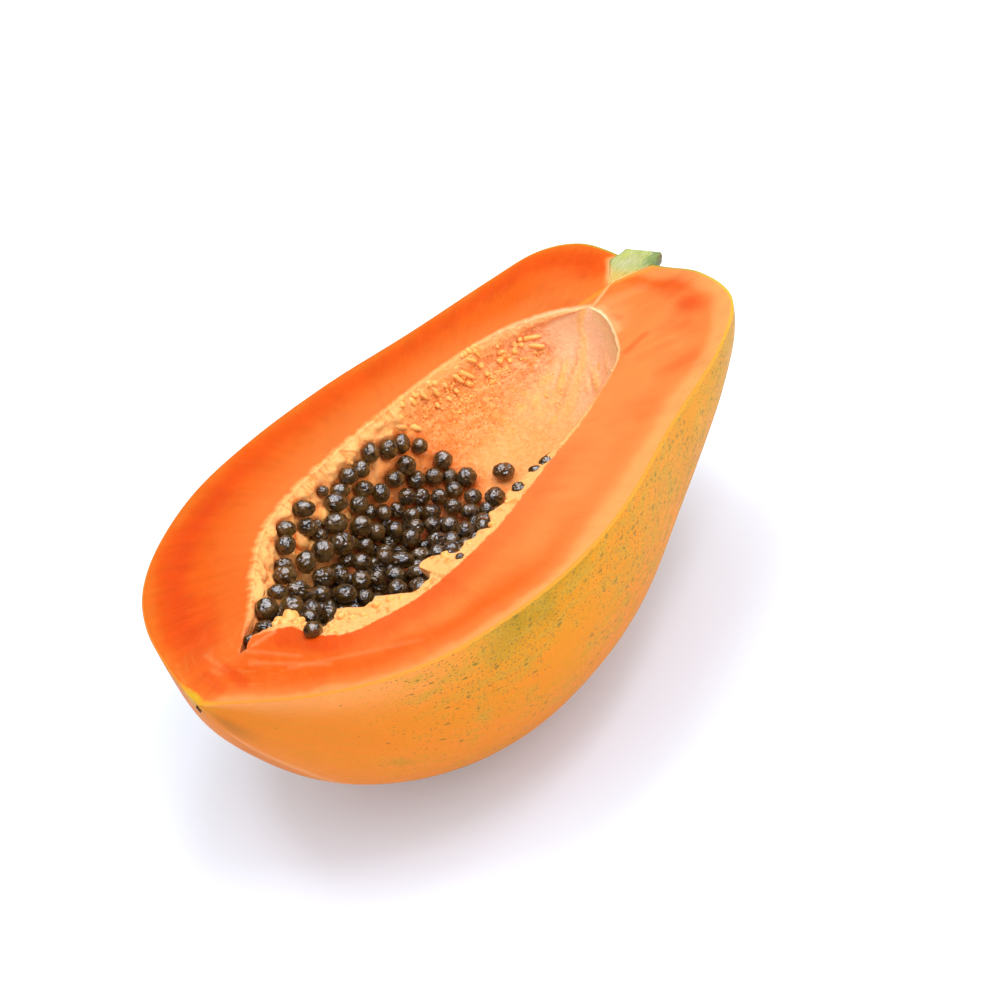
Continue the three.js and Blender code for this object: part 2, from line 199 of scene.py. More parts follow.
SEEDS_DEEP = [
    (449, 477, 8.4, 8.8), (421, 497, 9.5, 9.5), (398, 511, 8.8, 9.0), (383, 513, 8.0, 8.4),
    (371, 512, 8.0, 8.8), (409, 519, 8.0, 7.6), (388, 527, 8.0, 8.0), (378, 533, 8.4, 10.1),
    (388, 542, 7.6, 7.6), (401, 532, 7.6, 6.7), (373, 551, 8.0, 7.6), (347, 560, 8.8, 7.6),
    (401, 550, 9.5, 6.7), (382, 563, 8.0, 6.3), (338, 570, 9.5, 7.2), (379, 571, 8.4, 6.7),
    (352, 542, 7.6, 8.4), (317, 526, 6.3, 6.3), (425, 546, 8.0, 6.3), (418, 513, 7.6, 7.6),
    (445, 552, 7.6, 5.1), (293, 618, 10.1, 5.6),
]
BEHIND, DEEPER = 0.8, 2.4  # mm below the heap's surface for the last two tables
HOLLOW_AT, HOLLOW_WIDTH, HOLLOW_DEPTH = (392, 534), 9.0, 4.0  # a dip in the heap: pixel, mm, mm
# Seeds at the right rim: (pixel across, down, half width, half height, height of the middle in mm)
SEEDS_AT_RIM = [
    (548, 463, 9.5, 7.5, -1.3), (537, 471, 9, 6, -1.6), (519, 491, 8, 10, -1.5),
    (460, 557, 5, 4.5, -0.3), (313, 630, 10, 9.5, 1.0),
]
# The two that lie alone: node, s and degrees on the wall, and half width and height in mm
SEEDS_ALONE = [("seed_loose_1", 0.688, 75, 3.4, 2.65), ("seed_loose_2", 0.59, 170, 2.7, 3.0)]

# Pegs of the lining: [root pixel, tip pixel, radius in mm]
PEGS = [
    [(464, 358), (477, 362), 0.62], [(471, 347), (480, 357), 0.55], [(457, 371), (475, 378), 0.6],
    [(450, 373), (464, 383), 0.65], [(468, 382), (470, 386), 0.6], [(461, 355), (463, 358), 0.5],
    [(480, 365), (483, 368), 0.6], [(486, 373), (489, 376), 0.55], [(432, 388), (439, 396), 0.6],
    [(419, 391), (428, 400), 0.65], [(409, 399), (416, 405), 0.7], [(400, 403), (404, 408), 0.7],
    [(427, 382), (431, 387), 0.6], [(443, 383), (447, 388), 0.55], [(412, 393), (417, 398), 0.55],
    [(391, 425), (407, 428), 0.9], [(408, 426), (423, 430), 0.75], [(393, 417), (404, 418), 0.9],
    [(524, 339), (541, 336), 0.55], [(529, 345), (545, 347), 0.6], [(520, 344), (523, 347), 0.6],
    [(499, 353), (505, 351), 0.55], [(499, 361), (503, 362), 0.6], [(519, 339), (522, 341), 0.55],
    [(509, 360), (512, 363), 0.5], [(513, 351), (518, 353), 0.5], [(495, 345), (499, 348), 0.45],
    [(436, 404), (440, 408), 0.5], [(455, 390), (459, 393), 0.5], [(447, 398), (452, 401), 0.5],
]
# Bands of grains on the wall: (from pixel, to pixel, half width, count, radius in mm)
GRAINS = [
    ((452, 411), (540, 343), 9, 230, 0.42), ((405, 425), (470, 372), 11, 120, 0.4),
    ((388, 428), (470, 352), 4, 90, 0.5), ((556, 422), (566, 360), 4, 60, 0.42),
    ((587, 392), (600, 364), 4, 50, 0.42), ((430, 440), (500, 400), 14, 70, 0.36),
    ((575, 430), (612, 380), 3, 45, 0.4), ((540, 400), (552, 372), 6, 30, 0.35),
]
# Soft mounds along the left rim, among the pegs: (from pixel, to pixel, half width, count, radius)
MOUNDS = [
    ((402, 404), (440, 378), 4.5, 16, 0.95), ((440, 378), (478, 350), 4.5, 18, 0.9),
    ((498, 360), (520, 342), 4, 9, 0.7), ((462, 378), (472, 386), 3, 5, 0.8),
]
# Bits of lining along the edge of the flap by the tip: (pixel across, down, radius in mm)
FLAP_BITS = [
    (276, 625, 1.1), (280, 622, 1.5), (285.5, 623, 1.2), (290, 619, 2.0), (296, 624, 1.1),
    (300, 622, 1.9), (305, 626, 0.9), (333, 632, 1.1), (341, 616, 0.9),
    (352, 618, 1.0), (364, 615, 1.0), (376, 605, 1.0), (390, 600, 1.0), (402, 598, 1.0),
    (492, 524, 0.9), (486, 534, 0.9), (470, 544, 0.9), (508, 502, 0.9), (445, 556, 1.0),
    (566, 440, 0.7), (570, 436, 0.8), (574, 431, 0.6), (605, 386, 0.5), (612, 371, 0.5),
]
# Bits of pulp among the seeds: (pixel across, pixel down, radius in mm)
PULP_BITS = [
    (324, 516, 2.3), (348, 516, 1.4), (302, 541, 2.4), (309, 545, 1.7), (290, 557, 1.5),
    (283, 594, 0.9), (333, 587, 1.1), (374, 564, 1.0), (334, 603, 1.0), (300, 615, 1.0),
    (281, 617, 1.4), (303, 612, 0.8), (314, 620, 0.7), (340, 612, 1.6), (489, 506, 1.4),
    (374, 470, 0.9), (409, 458, 1.0), (349, 461, 1.1),
]

CAMERA_AT = Vector((-0.35092, -0.40644, 0.40766))
CAMERA_LOOKS_AT = Vector((-0.012415, -0.030954, 0.0716))
CAMERA_ROLL = math.radians(20.866)
CAMERA_LENS, CAMERA_SENSOR = 82.8, 36
PICTURE = 1000  # pixels on each side

# Marks on the cut face: (from pixel, to pixel, half width in mm, colour, strength)
FACE_MARKS = [
    ((625, 352), (645, 334), 1.2, "red", 0.42), ((582, 304), (606, 288), 0.9, "yellow", 0.7),
    ((593, 306), (611, 283), 0.5, "cream", 0.8), ((611, 284), (652, 268), 1.1, "yellow", 0.5),
    ((611, 260), (609, 279), 0.9, "cream", 0.5), ((240, 650), (300, 656), 0.7, "cream", 0.14),
    ((250, 663), (330, 664), 0.7, "cream", 0.14), ((205, 655), (228, 672), 0.7, "cream", 0.14),
    ((290, 668), (420, 640), 0.8, "cream", 0.12), ((225, 668), (245, 684), 1.6, "red", 0.6),
    ((205, 600), (212, 640), 2.4, "red", 0.4), ((280, 642), (330, 648), 1.6, "red", 0.5),
    ((640, 358), (668, 344), 1.8, "red", 0.16), ((662, 372), (690, 356), 2.6, "red", 0.2),
    ((600, 312), (617, 318), 1.4, "red", 0.35), ((253, 645), (274, 632), 0.6, "cream", 0.3),
    ((254, 600), (243, 636), 0.45, "cream", 0.5), ((600, 309), (616, 330), 1.9, "cream", 0.45),
    ((612, 300), (640, 288), 2.6, "cream", 0.14), ((205, 676), (222, 690), 1.4, "red", 0.45),
]
# Red patches: (pixel, half width in mm, strength)
FACE_PATCHES = [
    ((690, 301), 3.6, 0.5), ((692, 303), 5.6, 0.5), ((676, 283), 6.5, 0.5),
    ((684, 322), 5, 0.35), ((686, 362), 6.5, 0.3), ((580, 268), 8, 0.45),
    ((560, 305), 4, 0.3), ((640, 410), 6, 0.2),
]

# The torn edge of the lining along the right rim: [share of length, mm over the cavity]
RIGHT_EDGE = [
    [0, 0], [0.02, 2], [0.033, 4.9], [0.058, 9.4], [0.093, 12.2], [0.115, 13], [0.125, 11.5],
    [0.132, 3], [0.15, 5], [0.165, 7.6], [0.178, 10.6], [0.19, 12.4], [0.198, 10.8], [0.205, 6.9],
    [0.222, 7.2], [0.236, 9.6], [0.244, 4.5], [0.252, -1.2], [0.285, -0.4], [0.3, 1.8],
    [0.309, 8.6], [0.322, 9], [0.332, 8.2], [0.34, 3.6], [0.348, -0.6], [0.371, 2], [0.382, -0.8],
    [0.397, 1], [0.408, -2], [0.42, -0.5], [0.438, 3.4], [0.455, 1.6], [0.465, 0.8], [0.49, 4.2],
    [0.52, 3.2], [0.56, 1.6], [0.62, 0.4], [0.75, 0], [1, 0],
]
EDGE_DROP = 0.17  # mm down for each mm over the cavity
REST_DEPTH = 71.6  # cut face to the ground


CAMERA_MATRIX = (
    Matrix.Translation(CAMERA_AT)
    @ (CAMERA_LOOKS_AT - CAMERA_AT).to_track_quat("-Z", "Y").to_matrix().to_4x4()
    @ Matrix.Rotation(-CAMERA_ROLL, 4, "Z")
)
CAMERA_AXES = np.array(CAMERA_MATRIX.to_3x3())  # its columns point right, up and back
EYE = np.array(CAMERA_AT) * 1000 - TIP_AT  # in the fruit's frame
FOCAL_PIXELS = CAMERA_LENS / CAMERA_SENSOR * PICTURE


def sight(pixel):
    """Unit direction of the line of sight through a pixel."""
    x, y = pixel
    d = CAMERA_AXES @ [(x - PICTURE / 2) / FOCAL_PIXELS, (PICTURE / 2 - y) / FOCAL_PIXELS, -1]
    return d / np.linalg.norm(d)


def on_plane(pixel, height=0.0):
    """Where a line of sight meets the plane of the cut face, or one above it."""
    d = sight(pixel)
    return EYE + d * (height - EYE[2]) / d[2]


# ---------------------------------------------------------------- numbers

def smooth(x, low, high):
    q = np.clip((np.asarray(x, float) - low) / (high - low), 0, 1)
    return q * q * (3 - 2 * q)


def fade(x, low, high):
    return 1 - smooth(x, low, high)


def bump(x, centre, width):
    """1 at the centre, falling smoothly to 0 about two widths away."""
    return np.exp(-((np.asarray(x, float) - centre) / width) ** 2)


def unit(v):
    """Vectors scaled to length 1."""
    return v / np.maximum(np.linalg.norm(v, axis=-1, keepdims=True), 1e-9)


def read(table, x):
    """A table of [place, value] rows, read between its rows."""
    return np.interp(x, *np.array(table).T)


def srgb(r, g, b):
    c = np.array([r, g, b]) / 255
    return np.where(c <= 0.04045, c / 12.92, ((c + 0.055) / 1.055) ** 2.4)


def blend(a, b, k):
    return a + (b - a) * np.asarray(k)[..., None]


def paint(c, *coats):
    """Colours laid over one another, each with its own weight."""
    for colour, weight in coats:
        c = blend(c, colour, weight)
    return c


def _hash(i, j, k, seed):
    n = (i * 73856093) ^ (j * 19349663) ^ (k * 83492791) ^ (seed * 40503 + 12345)
    n = (n & 0xFFFFFFFF).astype(np.uint64)
    n = ((n ^ (n >> np.uint64(15))) * np.uint64(0x2C1B3C6D)) & np.uint64(0xFFFFFFFF)
    n = ((n ^ (n >> np.uint64(12))) * np.uint64(0x297A2D39)) & np.uint64(0xFFFFFFFF)
    return n ^ (n >> np.uint64(15))


GRADIENTS = np.array([  # towards the edges of a cube
    [1, 1, 0], [-1, 1, 0], [1, -1, 0], [-1, -1, 0], [1, 0, 1], [-1, 0, 1], [1, 0, -1],
    [-1, 0, -1], [0, 1, 1], [0, -1, 1], [0, 1, -1], [0, -1, -1], [1, 1, 0], [-1, 1, 0],
    [0, -1, 1], [0, -1, -1],
], float)


def noise(x, y, z=0.0, seed=0):
    """Gradient noise, about -1 to 1."""
    x, y, z = np.broadcast_arrays(*(np.asarray(a, float) for a in (x, y, z)))
    cell = [np.floor(a).astype(np.int64) for a in (x, y, z)]
    part = [a - c for a, c in zip((x, y, z), cell)]
    ease = [p ** 3 * (p * (p * 6 - 15) + 10) for p in part]
    total = np.zeros(x.shape)
    for corner in range(8):
        d = [(corner >> axis) & 1 for axis in range(3)]
        chosen = _hash(*(c + o for c, o in zip(cell, d)), seed) & np.uint64(15)
        turn = GRADIENTS[chosen.astype(int)]
        dot = sum(turn[..., axis] * (part[axis] - d[axis]) for axis in range(3))
        weight = 1.0
        for axis in range(3):
            weight = weight * (ease[axis] if d[axis] else 1 - ease[axis])
        total += weight * dot
    return total * 1.4


def layered(x, y, z=0.0, seed=0, layers=3):
    return sum(
        noise(x * 2 ** k, y * 2 ** k, np.asarray(z) * 2 ** k, seed + k) / 2 ** k
        for k in range(layers)
    ) / 1.6


def clouds(p, size, seed):
    """Layered noise at points, in patches about as wide as the size in mm."""
    return layered(*(p[..., k] / size for k in range(3)), seed)


def grains(p, size, seed):
    """The same with one layer."""
    return noise(*(p[..., k] / size for k in range(3)), seed)


def knobs(p, pitch, which, seed):
    """Noise on unit shapes, different for each."""
    return noise(p[..., 0] * pitch + which, p[..., 1] * pitch, p[..., 2] * pitch, seed)


# ---------------------------------------------------------------- surfaces

def profile_table(points, samples=6000):
    """A centripetal Catmull-Rom curve through the points, at even steps of length."""
    p = np.array(points, float)
    last = len(p) - 1
    at = np.linspace(0, last, samples)
    i = np.minimum(at.astype(int), last - 1)
    w = (at - i)[:, None]
    p = np.vstack([2 * p[0] - p[1], p, 2 * p[-1] - p[-2]])
    p0, p1, p2, p3 = p[i], p[i + 1], p[i + 2], p[i + 3]
    d0, d1, d2 = (
        (((b - a) ** 2).sum(1) ** 0.25)[:, None] for a, b in ((p0, p1), (p1, p2), (p2, p3))
    )
    m1 = ((p1 - p0) / d0 - (p2 - p0) / (d0 + d1) + (p2 - p1) / d1) * d1
    m2 = ((p2 - p1) / d1 - (p3 - p1) / (d1 + d2) + (p3 - p2) / d2) * d1
    curve = p1 + m1 * w + (-3 * p1 + 3 * p2 - 2 * m1 - m2) * w ** 2 + (
        2 * p1 - 2 * p2 + m1 + m2) * w ** 3
    length = np.r_[0, np.cumsum(np.hypot(*np.diff(curve, axis=0).T))]
    even = np.linspace(0, length[-1], samples)
    return np.stack([np.interp(even, length, curve[:, k]) for k in (0, 1)], 1), length[-1]


class Surface:
    """A half-round surface given by its left, right and back profiles."""

    def __init__(self, profiles, relief):
        self.tables = {k: profile_table(profiles[k])[0] for k in ("left", "right", "back")}
        self.axis_ends = profiles["axis"]
        self.relief = relief

    def axis(self, s):
        """How far to the left the middle line lies."""
        return self.axis_ends[0] + (self.axis_ends[1] - self.axis_ends[0]) * s

    def _read(self, side, s):
        table = self.tables[side]
        at = np.clip(s, 0, 1) * (len(table) - 1)
        grid = np.arange(len(table))
        return np.interp(at, grid, table[:, 0]), np.interp(at, grid, table[:, 1])

    def point(self, s, t, scale=1.0):
        """s from tip to stem, t from the left rim (0) by the back to the right rim (pi)."""
        s, t = np.broadcast_arrays(np.asarray(s, float), np.asarray(t, float))
        (left_x, left_r), (right_x, right_r), (back_x, back_r) = (
            self._read(side, s) for side in ("left", "right", "back")
        )
        is_left = np.cos(t) > 0
        share = np.cos(t) ** 2
        x = np.where(is_left, left_x, right_x) * share + back_x * (1 - share)
        r = np.where(is_left, left_r, right_r) * share + back_r * (1 - share)
        r = r * self.relief(s, t) * scale
        return np.stack([x, self.axis(s) + r * np.cos(t), -r * np.sin(t)], -1)

    def inward(self, s, t):
        """The direction out of the surface, towards the axis."""
        step = 0.004
        along = self.point(np.minimum(s + step, 1), t) - self.point(np.maximum(s - step, 0), t)
        around = self.point(s, t + step) - self.point(s, t - step)
        return unit(np.cross(around, along))

    def radius(self, s, t):
        p = self.point(s, t)
        return np.hypot(p[..., 1] - self.axis(s), p[..., 2])

    def locate(self, p):
        """The s and t of points, and how far inside the surface they lie."""
        first, last = self.tables["back"][0, 0], self.tables["back"][-1, 0]
        s = np.clip((p[..., 0] - first) / (last - first), 0.005, 0.995)
        for _ in range(6):
            t = np.arctan2(np.maximum(-p[..., 2], 0), p[..., 1] - self.axis(s))
            t = np.clip(t, 0.01, np.pi - 0.01)
            s = np.clip(s + (p[..., 0] - self.point(s, t)[..., 0]) / (last - first), 0.005, 0.995)
        return s, t, ((p - self.point(s, t)) * self.inward(s, t)).sum(-1)


def ribs(s, t):
    height = RIB_MIDDLE + RIB_TIP * fade(s, 0, 0.35) + RIB_STEM * smooth(s, 0.5, 0.9)
    rim = np.where(np.cos(t) > 0, math.cos(RIB_COUNT * RIB_PHASE),
                   math.cos(RIB_COUNT * (math.pi - RIB_PHASE)))
    return 1 + height * (np.cos(RIB_COUNT * (t - RIB_PHASE)) - np.cos(t) ** 2 * rim)


def lobes(s, t):
    return 1 + LOBE_DEPTH * np.sin(t) ** 2 * np.cos(RIB_COUNT * (t - RIB_PHASE))


rind = Surface(RIND, ribs)
cavity = Surface(CAVITY, lobes)

SIGHT_STEP, SIGHT_REACH = 0.3, 80


def look(pixel, above=0.0, top=0.0):
    """Points along a line of sight below the cut face, and which of them lie no higher than a
    limit above the cavity's wall, on the way down."""
    d = sight(pixel)
    k = (top - EYE[2]) / d[2] + np.arange(0, SIGHT_REACH, SIGHT_STEP)
    points = EYE + k[:, None] * d
    s, t, off = cavity.locate(points)
    limit = above(s, t) if callable(above) else above
    down = np.r_[np.diff(off) < 0, True]
    return points, off, down & (off <= limit)


def wall_at(pixel, above=0.0):
    """The point above the cavity's wall where a line of sight meets it."""
    points, _, met = look(pixel, above)
    return points[np.argmax(met)]


def wall_line(pixels):
    """The s and degrees of places on the wall, in order of s."""
    s, t, _ = cavity.locate(np.array([wall_at(pixel) for pixel in pixels]))
    order = np.argsort(s)
    return s[order], np.degrees(t[order])


# ---------------------------------------------------------------- meshes

def add_mesh(name, points, faces, materials, slots=None, floats=None, colours=None, vectors=None):
    """One object from points in the fruit's frame and lists of equal-sided faces."""
    mesh = bpy.data.meshes.new(name)
    corners = [f for part in faces for f in part.tolist()]
    mesh.from_pydata(((points + TIP_AT) / 1000).tolist(), [], corners)
    for m in materials:
        mesh.materials.append(m)
    if slots is not None:
        mesh.polygons.foreach_set("material_index", slots.astype(np.int32))
    mesh.polygons.foreach_set("use_smooth", np.ones(len(mesh.polygons), bool))
    for kind, field, group in (("FLOAT", "value", floats), ("FLOAT_VECTOR", "vector", vectors)):
        for key, values in (group or {}).items():
            attribute = mesh.attributes.new(key, kind, "POINT")
            attribute.data.foreach_set(field, values.astype(np.float32).ravel())
    for key, values in (colours or {}).items():
        rgba = np.concatenate([values, np.ones((len(values), 1))], 1).astype(np.float32)
        attribute = mesh.color_attributes.new(key, "FLOAT_COLOR", "POINT")
        attribute.data.foreach_set("color", rgba.ravel())
    mesh.update()
    obj = bpy.data.objects.new(name, mesh)
    bpy.context.scene.collection.objects.link(obj)
    return obj


def sphere(levels):
    """Points and triangles of a unit icosphere."""
    work = bmesh.new()
    bmesh.ops.create_icosphere(work, subdivisions=levels, radius=1)
    points = np.array([v.co[:] for v in work.verts])
    faces = np.array([[v.index for v in f.verts] for f in work.faces])
    work.free()
    return points, faces


def many(points, faces):
    """Joins equal copies: points is (copies, n, 3), faces is for one copy."""
    count, n = points.shape[:2]
    shift = (np.arange(count) * n)[:, None, None]
    return points.reshape(-1, 3), (faces[None] + shift).reshape(-1, faces.shape[1])


def quads(grid, flip=False):
    """Four-sided faces between the rows and columns of a grid of point numbers."""
    a, b, c, d = grid[:-1, :-1], grid[1:, :-1], grid[1:, 1:], grid[:-1, 1:]
    return np.stack([q.ravel() for q in ((a, d, c, b) if flip else (a, b, c, d))], 1)


def fan(centre, ring, flip=False):
    """Triangles from one point to a row of points."""
    a, b, c = ring[:-1], ring[1:], np.full(len(ring) - 1, centre)
    return np.stack([c, b, a] if flip else [c, a, b], 1)


def tube(rings, sides):
    """Point numbers and faces of a closed tube: its wall, and fans to the two points after it."""
    at = np.arange(rings * sides).reshape(rings, sides)
    at = np.hstack([at, at[:, :1]])
    caps = np.concatenate([fan(rings * sides, at[0], True), fan(rings * sides + 1, at[-1])])
    return at, quads(at, True), caps


def turns(random, count):
    """Random rotation matrices."""
    w, x, y, z = unit(random.normal(size=(count, 4))).T
    return np.stack([
        1 - 2 * (y * y + z * z), 2 * (x * y - z * w), 2 * (x * z + y * w),
        2 * (x * y + z * w), 1 - 2 * (x * x + z * z), 2 * (y * z - x * w),
        2 * (x * z - y * w), 2 * (y * z + x * w), 1 - 2 * (x * x + y * y),
    ], 1).reshape(-1, 3, 3)


# ---------------------------------------------------------------- shader nodes

OBJECT_OUTPUT = 3  # of a Texture Coordinate node


class Shader:
    """A material whose nodes are added by short calls."""

    def __init__(self, name):
        self.material = bpy.data.materials.new(name)
        self.material.use_nodes = True
        self.tree = self.material.node_tree
        self.bsdf = self.tree.nodes["Principled BSDF"]

    def add(self, kind, output=0, settings=None, **inputs):
        """A node with its settings and inputs; gives one of its outputs."""
        n = self.tree.nodes.new("ShaderNode" + kind)
        for key, value in (settings or {}).items():
            setattr(n, key, value)
        for key, value in inputs.items():
            self.put(n, key, value)
        return n.outputs[output]

    def put(self, n, key, value):
        """Sets or links an input, named by its number as in i0, or by its words with underscores."""
        by_number = key[0] == "i" and key[1:].isdigit()
        socket = n.inputs[int(key[1:]) if by_number else key.replace("_", " ")]
        if isinstance(value, bpy.types.NodeSocket):
            self.tree.links.new(value, socket)
        elif isinstance(value, np.ndarray) and socket.type == "RGBA":
            socket.default_value = (*value, 1)
        else:
            socket.default_value = value

    def attribute(self, name, output=2):
        return self.add("Attribute", output, {"attribute_name": name})

    def colour(self, name):
        return self.attribute(name, 0)

    def vector(self, name):
        return self.attribute(name, 1)

    def maths(self, operation, a, b, c=0.0):
        return self.add("Math", 0, {"operation": operation}, i0=a, i1=b, i2=c)

    def times(self, a, b):
        return self.maths("MULTIPLY", a, b)

    def plus(self, a, b):
        return self.maths("ADD", a, b)

    def minus(self, a, b):
        return self.maths("SUBTRACT", a, b)

    def millimetres(self):
        return self.stretch(self.add("TexCoord", OBJECT_OUTPUT), 1000, 1000, 1000)

    def stretch(self, vector, x, y, z=1.0):
        return self.add("VectorMath", 0, {"operation": "MULTIPLY"}, i0=vector, i1=(x, y, z))

    def push(self, vector, other, amount):
        """The vector moved about by a colour, to break up a pattern."""
        moved = self.add("VectorMath", 0, {"operation": "SUBTRACT"}, i0=other, i1=(0.5, 0.5, 0.5))
        return self.add("VectorMath", 0, {"operation": "MULTIPLY_ADD"}, i0=moved,
                        i1=(amount,) * 3, i2=vector)

    def noise(self, vector, scale, detail=3.0, rough=0.5, output=0, distortion=0.0):
        return self.add("TexNoise", output, Vector=vector, Scale=scale, Detail=detail,
                        Roughness=rough, Distortion=distortion)

    def ramp(self, value, low, high, to_low=0.0, to_high=1.0):
        """A value carried smoothly from one range to another, and held at its ends."""
        return self.add("MapRange", 0, {"interpolation_type": "SMOOTHSTEP"}, i0=value, i1=low,
                        i2=high, i3=to_low, i4=to_high)

    def mix(self, factor, a, b, how="MIX"):
        return self.add("Mix", 2, {"data_type": "RGBA", "blend_type": how}, i0=factor, i6=a, i7=b)

    def bumps(self, height, distance, strength=1.0, normal=None):
        extra = {"Normal": normal} if normal else {}
        return self.add("Bump", 0, Height=height, Distance=distance, Strength=strength, **extra)

    def surface(self, **inputs):
        for key, value in inputs.items():
            self.put(self.bsdf, key, value)
        return self.material


# ---------------------------------------------------------------- the half fruit

def crowded(u):
    """Even steps from 0 to 1, made shorter towards both ends."""
    return u - END_CROWDING * np.sin(2 * np.pi * u)


def heap_end(t):
    """The s at which the heap of seeds ends, round the wall."""
    return 0.52 + 0.125 * smooth(t, 0, 0.6) - 0.12 * smooth(t, 1.8, 3.0)


def from_line(p, a, b):
    """The share of a line at which points lie beside it, and how far from it they are."""
    along = np.clip(((p - a) @ (b - a)) / ((b - a) @ (b - a)), 0, 1)
    return along, np.linalg.norm(p - a - along[..., None] * (b - a), axis=-1)


def line_height(p, lines):
    """Soft swellings of the lining along lines seen in the photograph."""
    h = np.zeros(p.shape[:-1])
    for from_pixel, to_pixel, half_width, height in lines:
        along, distance = from_line(p, wall_at(from_pixel), wall_at(to_pixel))
        grow = height * (0.35 + 0.65 * smooth(along, 0, 0.7))
        h = np.maximum(h, grow * fade(distance, 0.25 * half_width, 1.25 * half_width))
    return h


def seed_gap(p, pile):
    """How far points are from the nearest seed of a pile, in mm."""
    gap = np.full(p.shape[:-1], 9.0)
    for centre, radius in zip(pile.centres, pile.radii):
        gap = np.minimum(gap, np.linalg.norm(p - centre, axis=-1) - radius)
    return gap


def left_band(s, deg):
    """The fluffy strip of lining between the left rim and the seeds."""
    return fade(deg, 24, 42) * smooth(s, 0.04, 0.16) * fade(s, 0.6, 0.68)


def right_band(s, deg):
    return smooth(deg, 150, 168) * fade(s, 0.62, 0.76) * smooth(s, 0.04, 0.12)


def billows(s, deg, p):
    """Rounded lumps, 0 in the creases between them and about 1 on top."""
    lean = s * RELIEF_LENGTH + 0.12 * deg
    large = np.hypot(noise(lean / 6.5, deg / 15, 0, 2), 0.07) - 0.07
    small = np.hypot(grains(p, 3.7, 8), 0.1) - 0.1
    return np.clip(1.7 * large + 0.9 * small, 0, 1.2)


def wall_relief(s, t, p, gap):
    """How far the lining stands out of the smooth cavity wall, in mm."""
    deg = np.degrees(t)
    h = 0.25 * clouds(p, 9, 1)
    # fluffy lumps round the seeds, which sit in hollows of the lining
    lumps = billows(s, deg, p)
    left, right = left_band(s, deg), right_band(s, deg)
    h += left * smooth(deg, 0, 5) * (0.45 + 1.5 * lumps * (0.35 + 0.65 * smooth(gap, 0, 2.4)))
    h += 0.9 * right * lumps
    h = np.maximum(h, line_height(p, LOBES) * (0.8 + 0.4 * lumps) * smooth(deg, 0, 6) + 0.3 * h)
    h = np.where(left > 0, np.minimum(h, np.maximum(0.9 * gap, 0)) * left + h * (1 - left), h)
    # a rounded lip along the left rim towards the stem
    h += 0.5 * bump(deg, 8, 5) * smooth(s, 0.6, 0.72) * fade(s, 0.97, 1)
    h -= 0.5 * bump(deg, 17, 5) * smooth(s, 0.64, 0.74) * fade(s, 0.93, 0.98)
    # grains in the upper left of the wall and in patches elsewhere
    grit = grit_weight(s, deg)
    h += 0.35 * grit * grains(p, 1.3, 4)
    h += 0.35 * grit * grains(p, 3.1, 9)
    # the vein, with a groove on either side, and the ridges of old seed stalks
    vein = np.interp(s, *VEIN_LINE)
    where = smooth(s, VEIN_LINE[0][0] - 0.02, VEIN_LINE[0][0] + 0.03) * fade(s, 0.985, 1)
    h += 0.14 * (smooth(deg, vein - 12, vein - 6) - smooth(deg, vein + 6, vein + 12)) * where
    h -= (0.07 * bump(deg, vein - 11, 3.5) + 0.05 * bump(deg, vein + 10, 3)) * where
    h += line_height(p, RIDGES) * (
        0.6 + 0.8 * np.abs(noise(s * RELIEF_LENGTH / 2.2, deg / 5, 0, 5)))
    return h


def grit_weight(s, deg):
    """Where the wall is grainy."""
    w = smooth(deg, 4, 12) * fade(deg, 40, 62) * smooth(s, 0.55, 0.66) * fade(s, 0.88, 0.94)
    return np.clip(w + 0.35 * smooth(s, 0.6, 0.7) * fade(s, 0.9, 0.97), 0, 1)


def skin_grid(s):
    """The outer skin, with faint unevenness: a row for each s, and columns round it at t."""
    t = np.linspace(0, np.pi, SKIN_SIDES + 1)
    t = np.r_[0, RIM_STEP, t[1:-1], np.pi - RIM_STEP, np.pi]
    skin = rind.point(s[:, None], t[None])
    uneven = SKIN_UNEVEN * clouds(skin, 22, 7) * np.sin(t) ** 0.5
    skin = skin + unit(skin * [0, 1, 1]) * uneven[..., None]
    skin[..., 2] = np.maximum(skin[..., 2], -REST_DEPTH)
    skin[:, 0, 2] = skin[:, -1, 2] = -EDGE_ROUNDING
    return t, skin


def wall_grid(s, seeds):
    """The wall of the cavity with its relief, how far each point is from a seed, and its creases."""
    t = np.linspace(0, np.pi, WALL_SIDES + 1)
    s2, t2 = np.broadcast_arrays(s[:, None], t[None])
    deg = np.degrees(t2)
    wall = cavity.point(s2, t2)
    gap = seed_gap(wall, seeds)
    relief = wall_relief(s2, t2, wall, gap)
    crease = fade(billows(s2, deg, wall), 0.02, 0.42)
    ends = np.clip(smooth(s2, 0, 0.03) * fade(s2, 0.97, 1) + 0.15, 0, 1)
    rims = smooth(np.sin(t2), 0, np.where(t2 < 1, 0.045, 0.09))
    wall = wall + cavity.inward(s2, t2) * (relief * ends * rims)[..., None]
    tear_edge(wall, s, t2)
    wall[:, 0, 2] = -0.1 - 0.4 * smooth(s, 0.6, 0.7) * fade(s, 0.9, 0.98)
    top = wall[:, :1, 2] - 0.02 + 0.3 * (left_band(s2, deg) * billows(s2, deg, wall))[:, 1:]
    wall[:, 1:, 2] = np.minimum(wall[:, 1:, 2], top)
    return t, wall, gap, crease


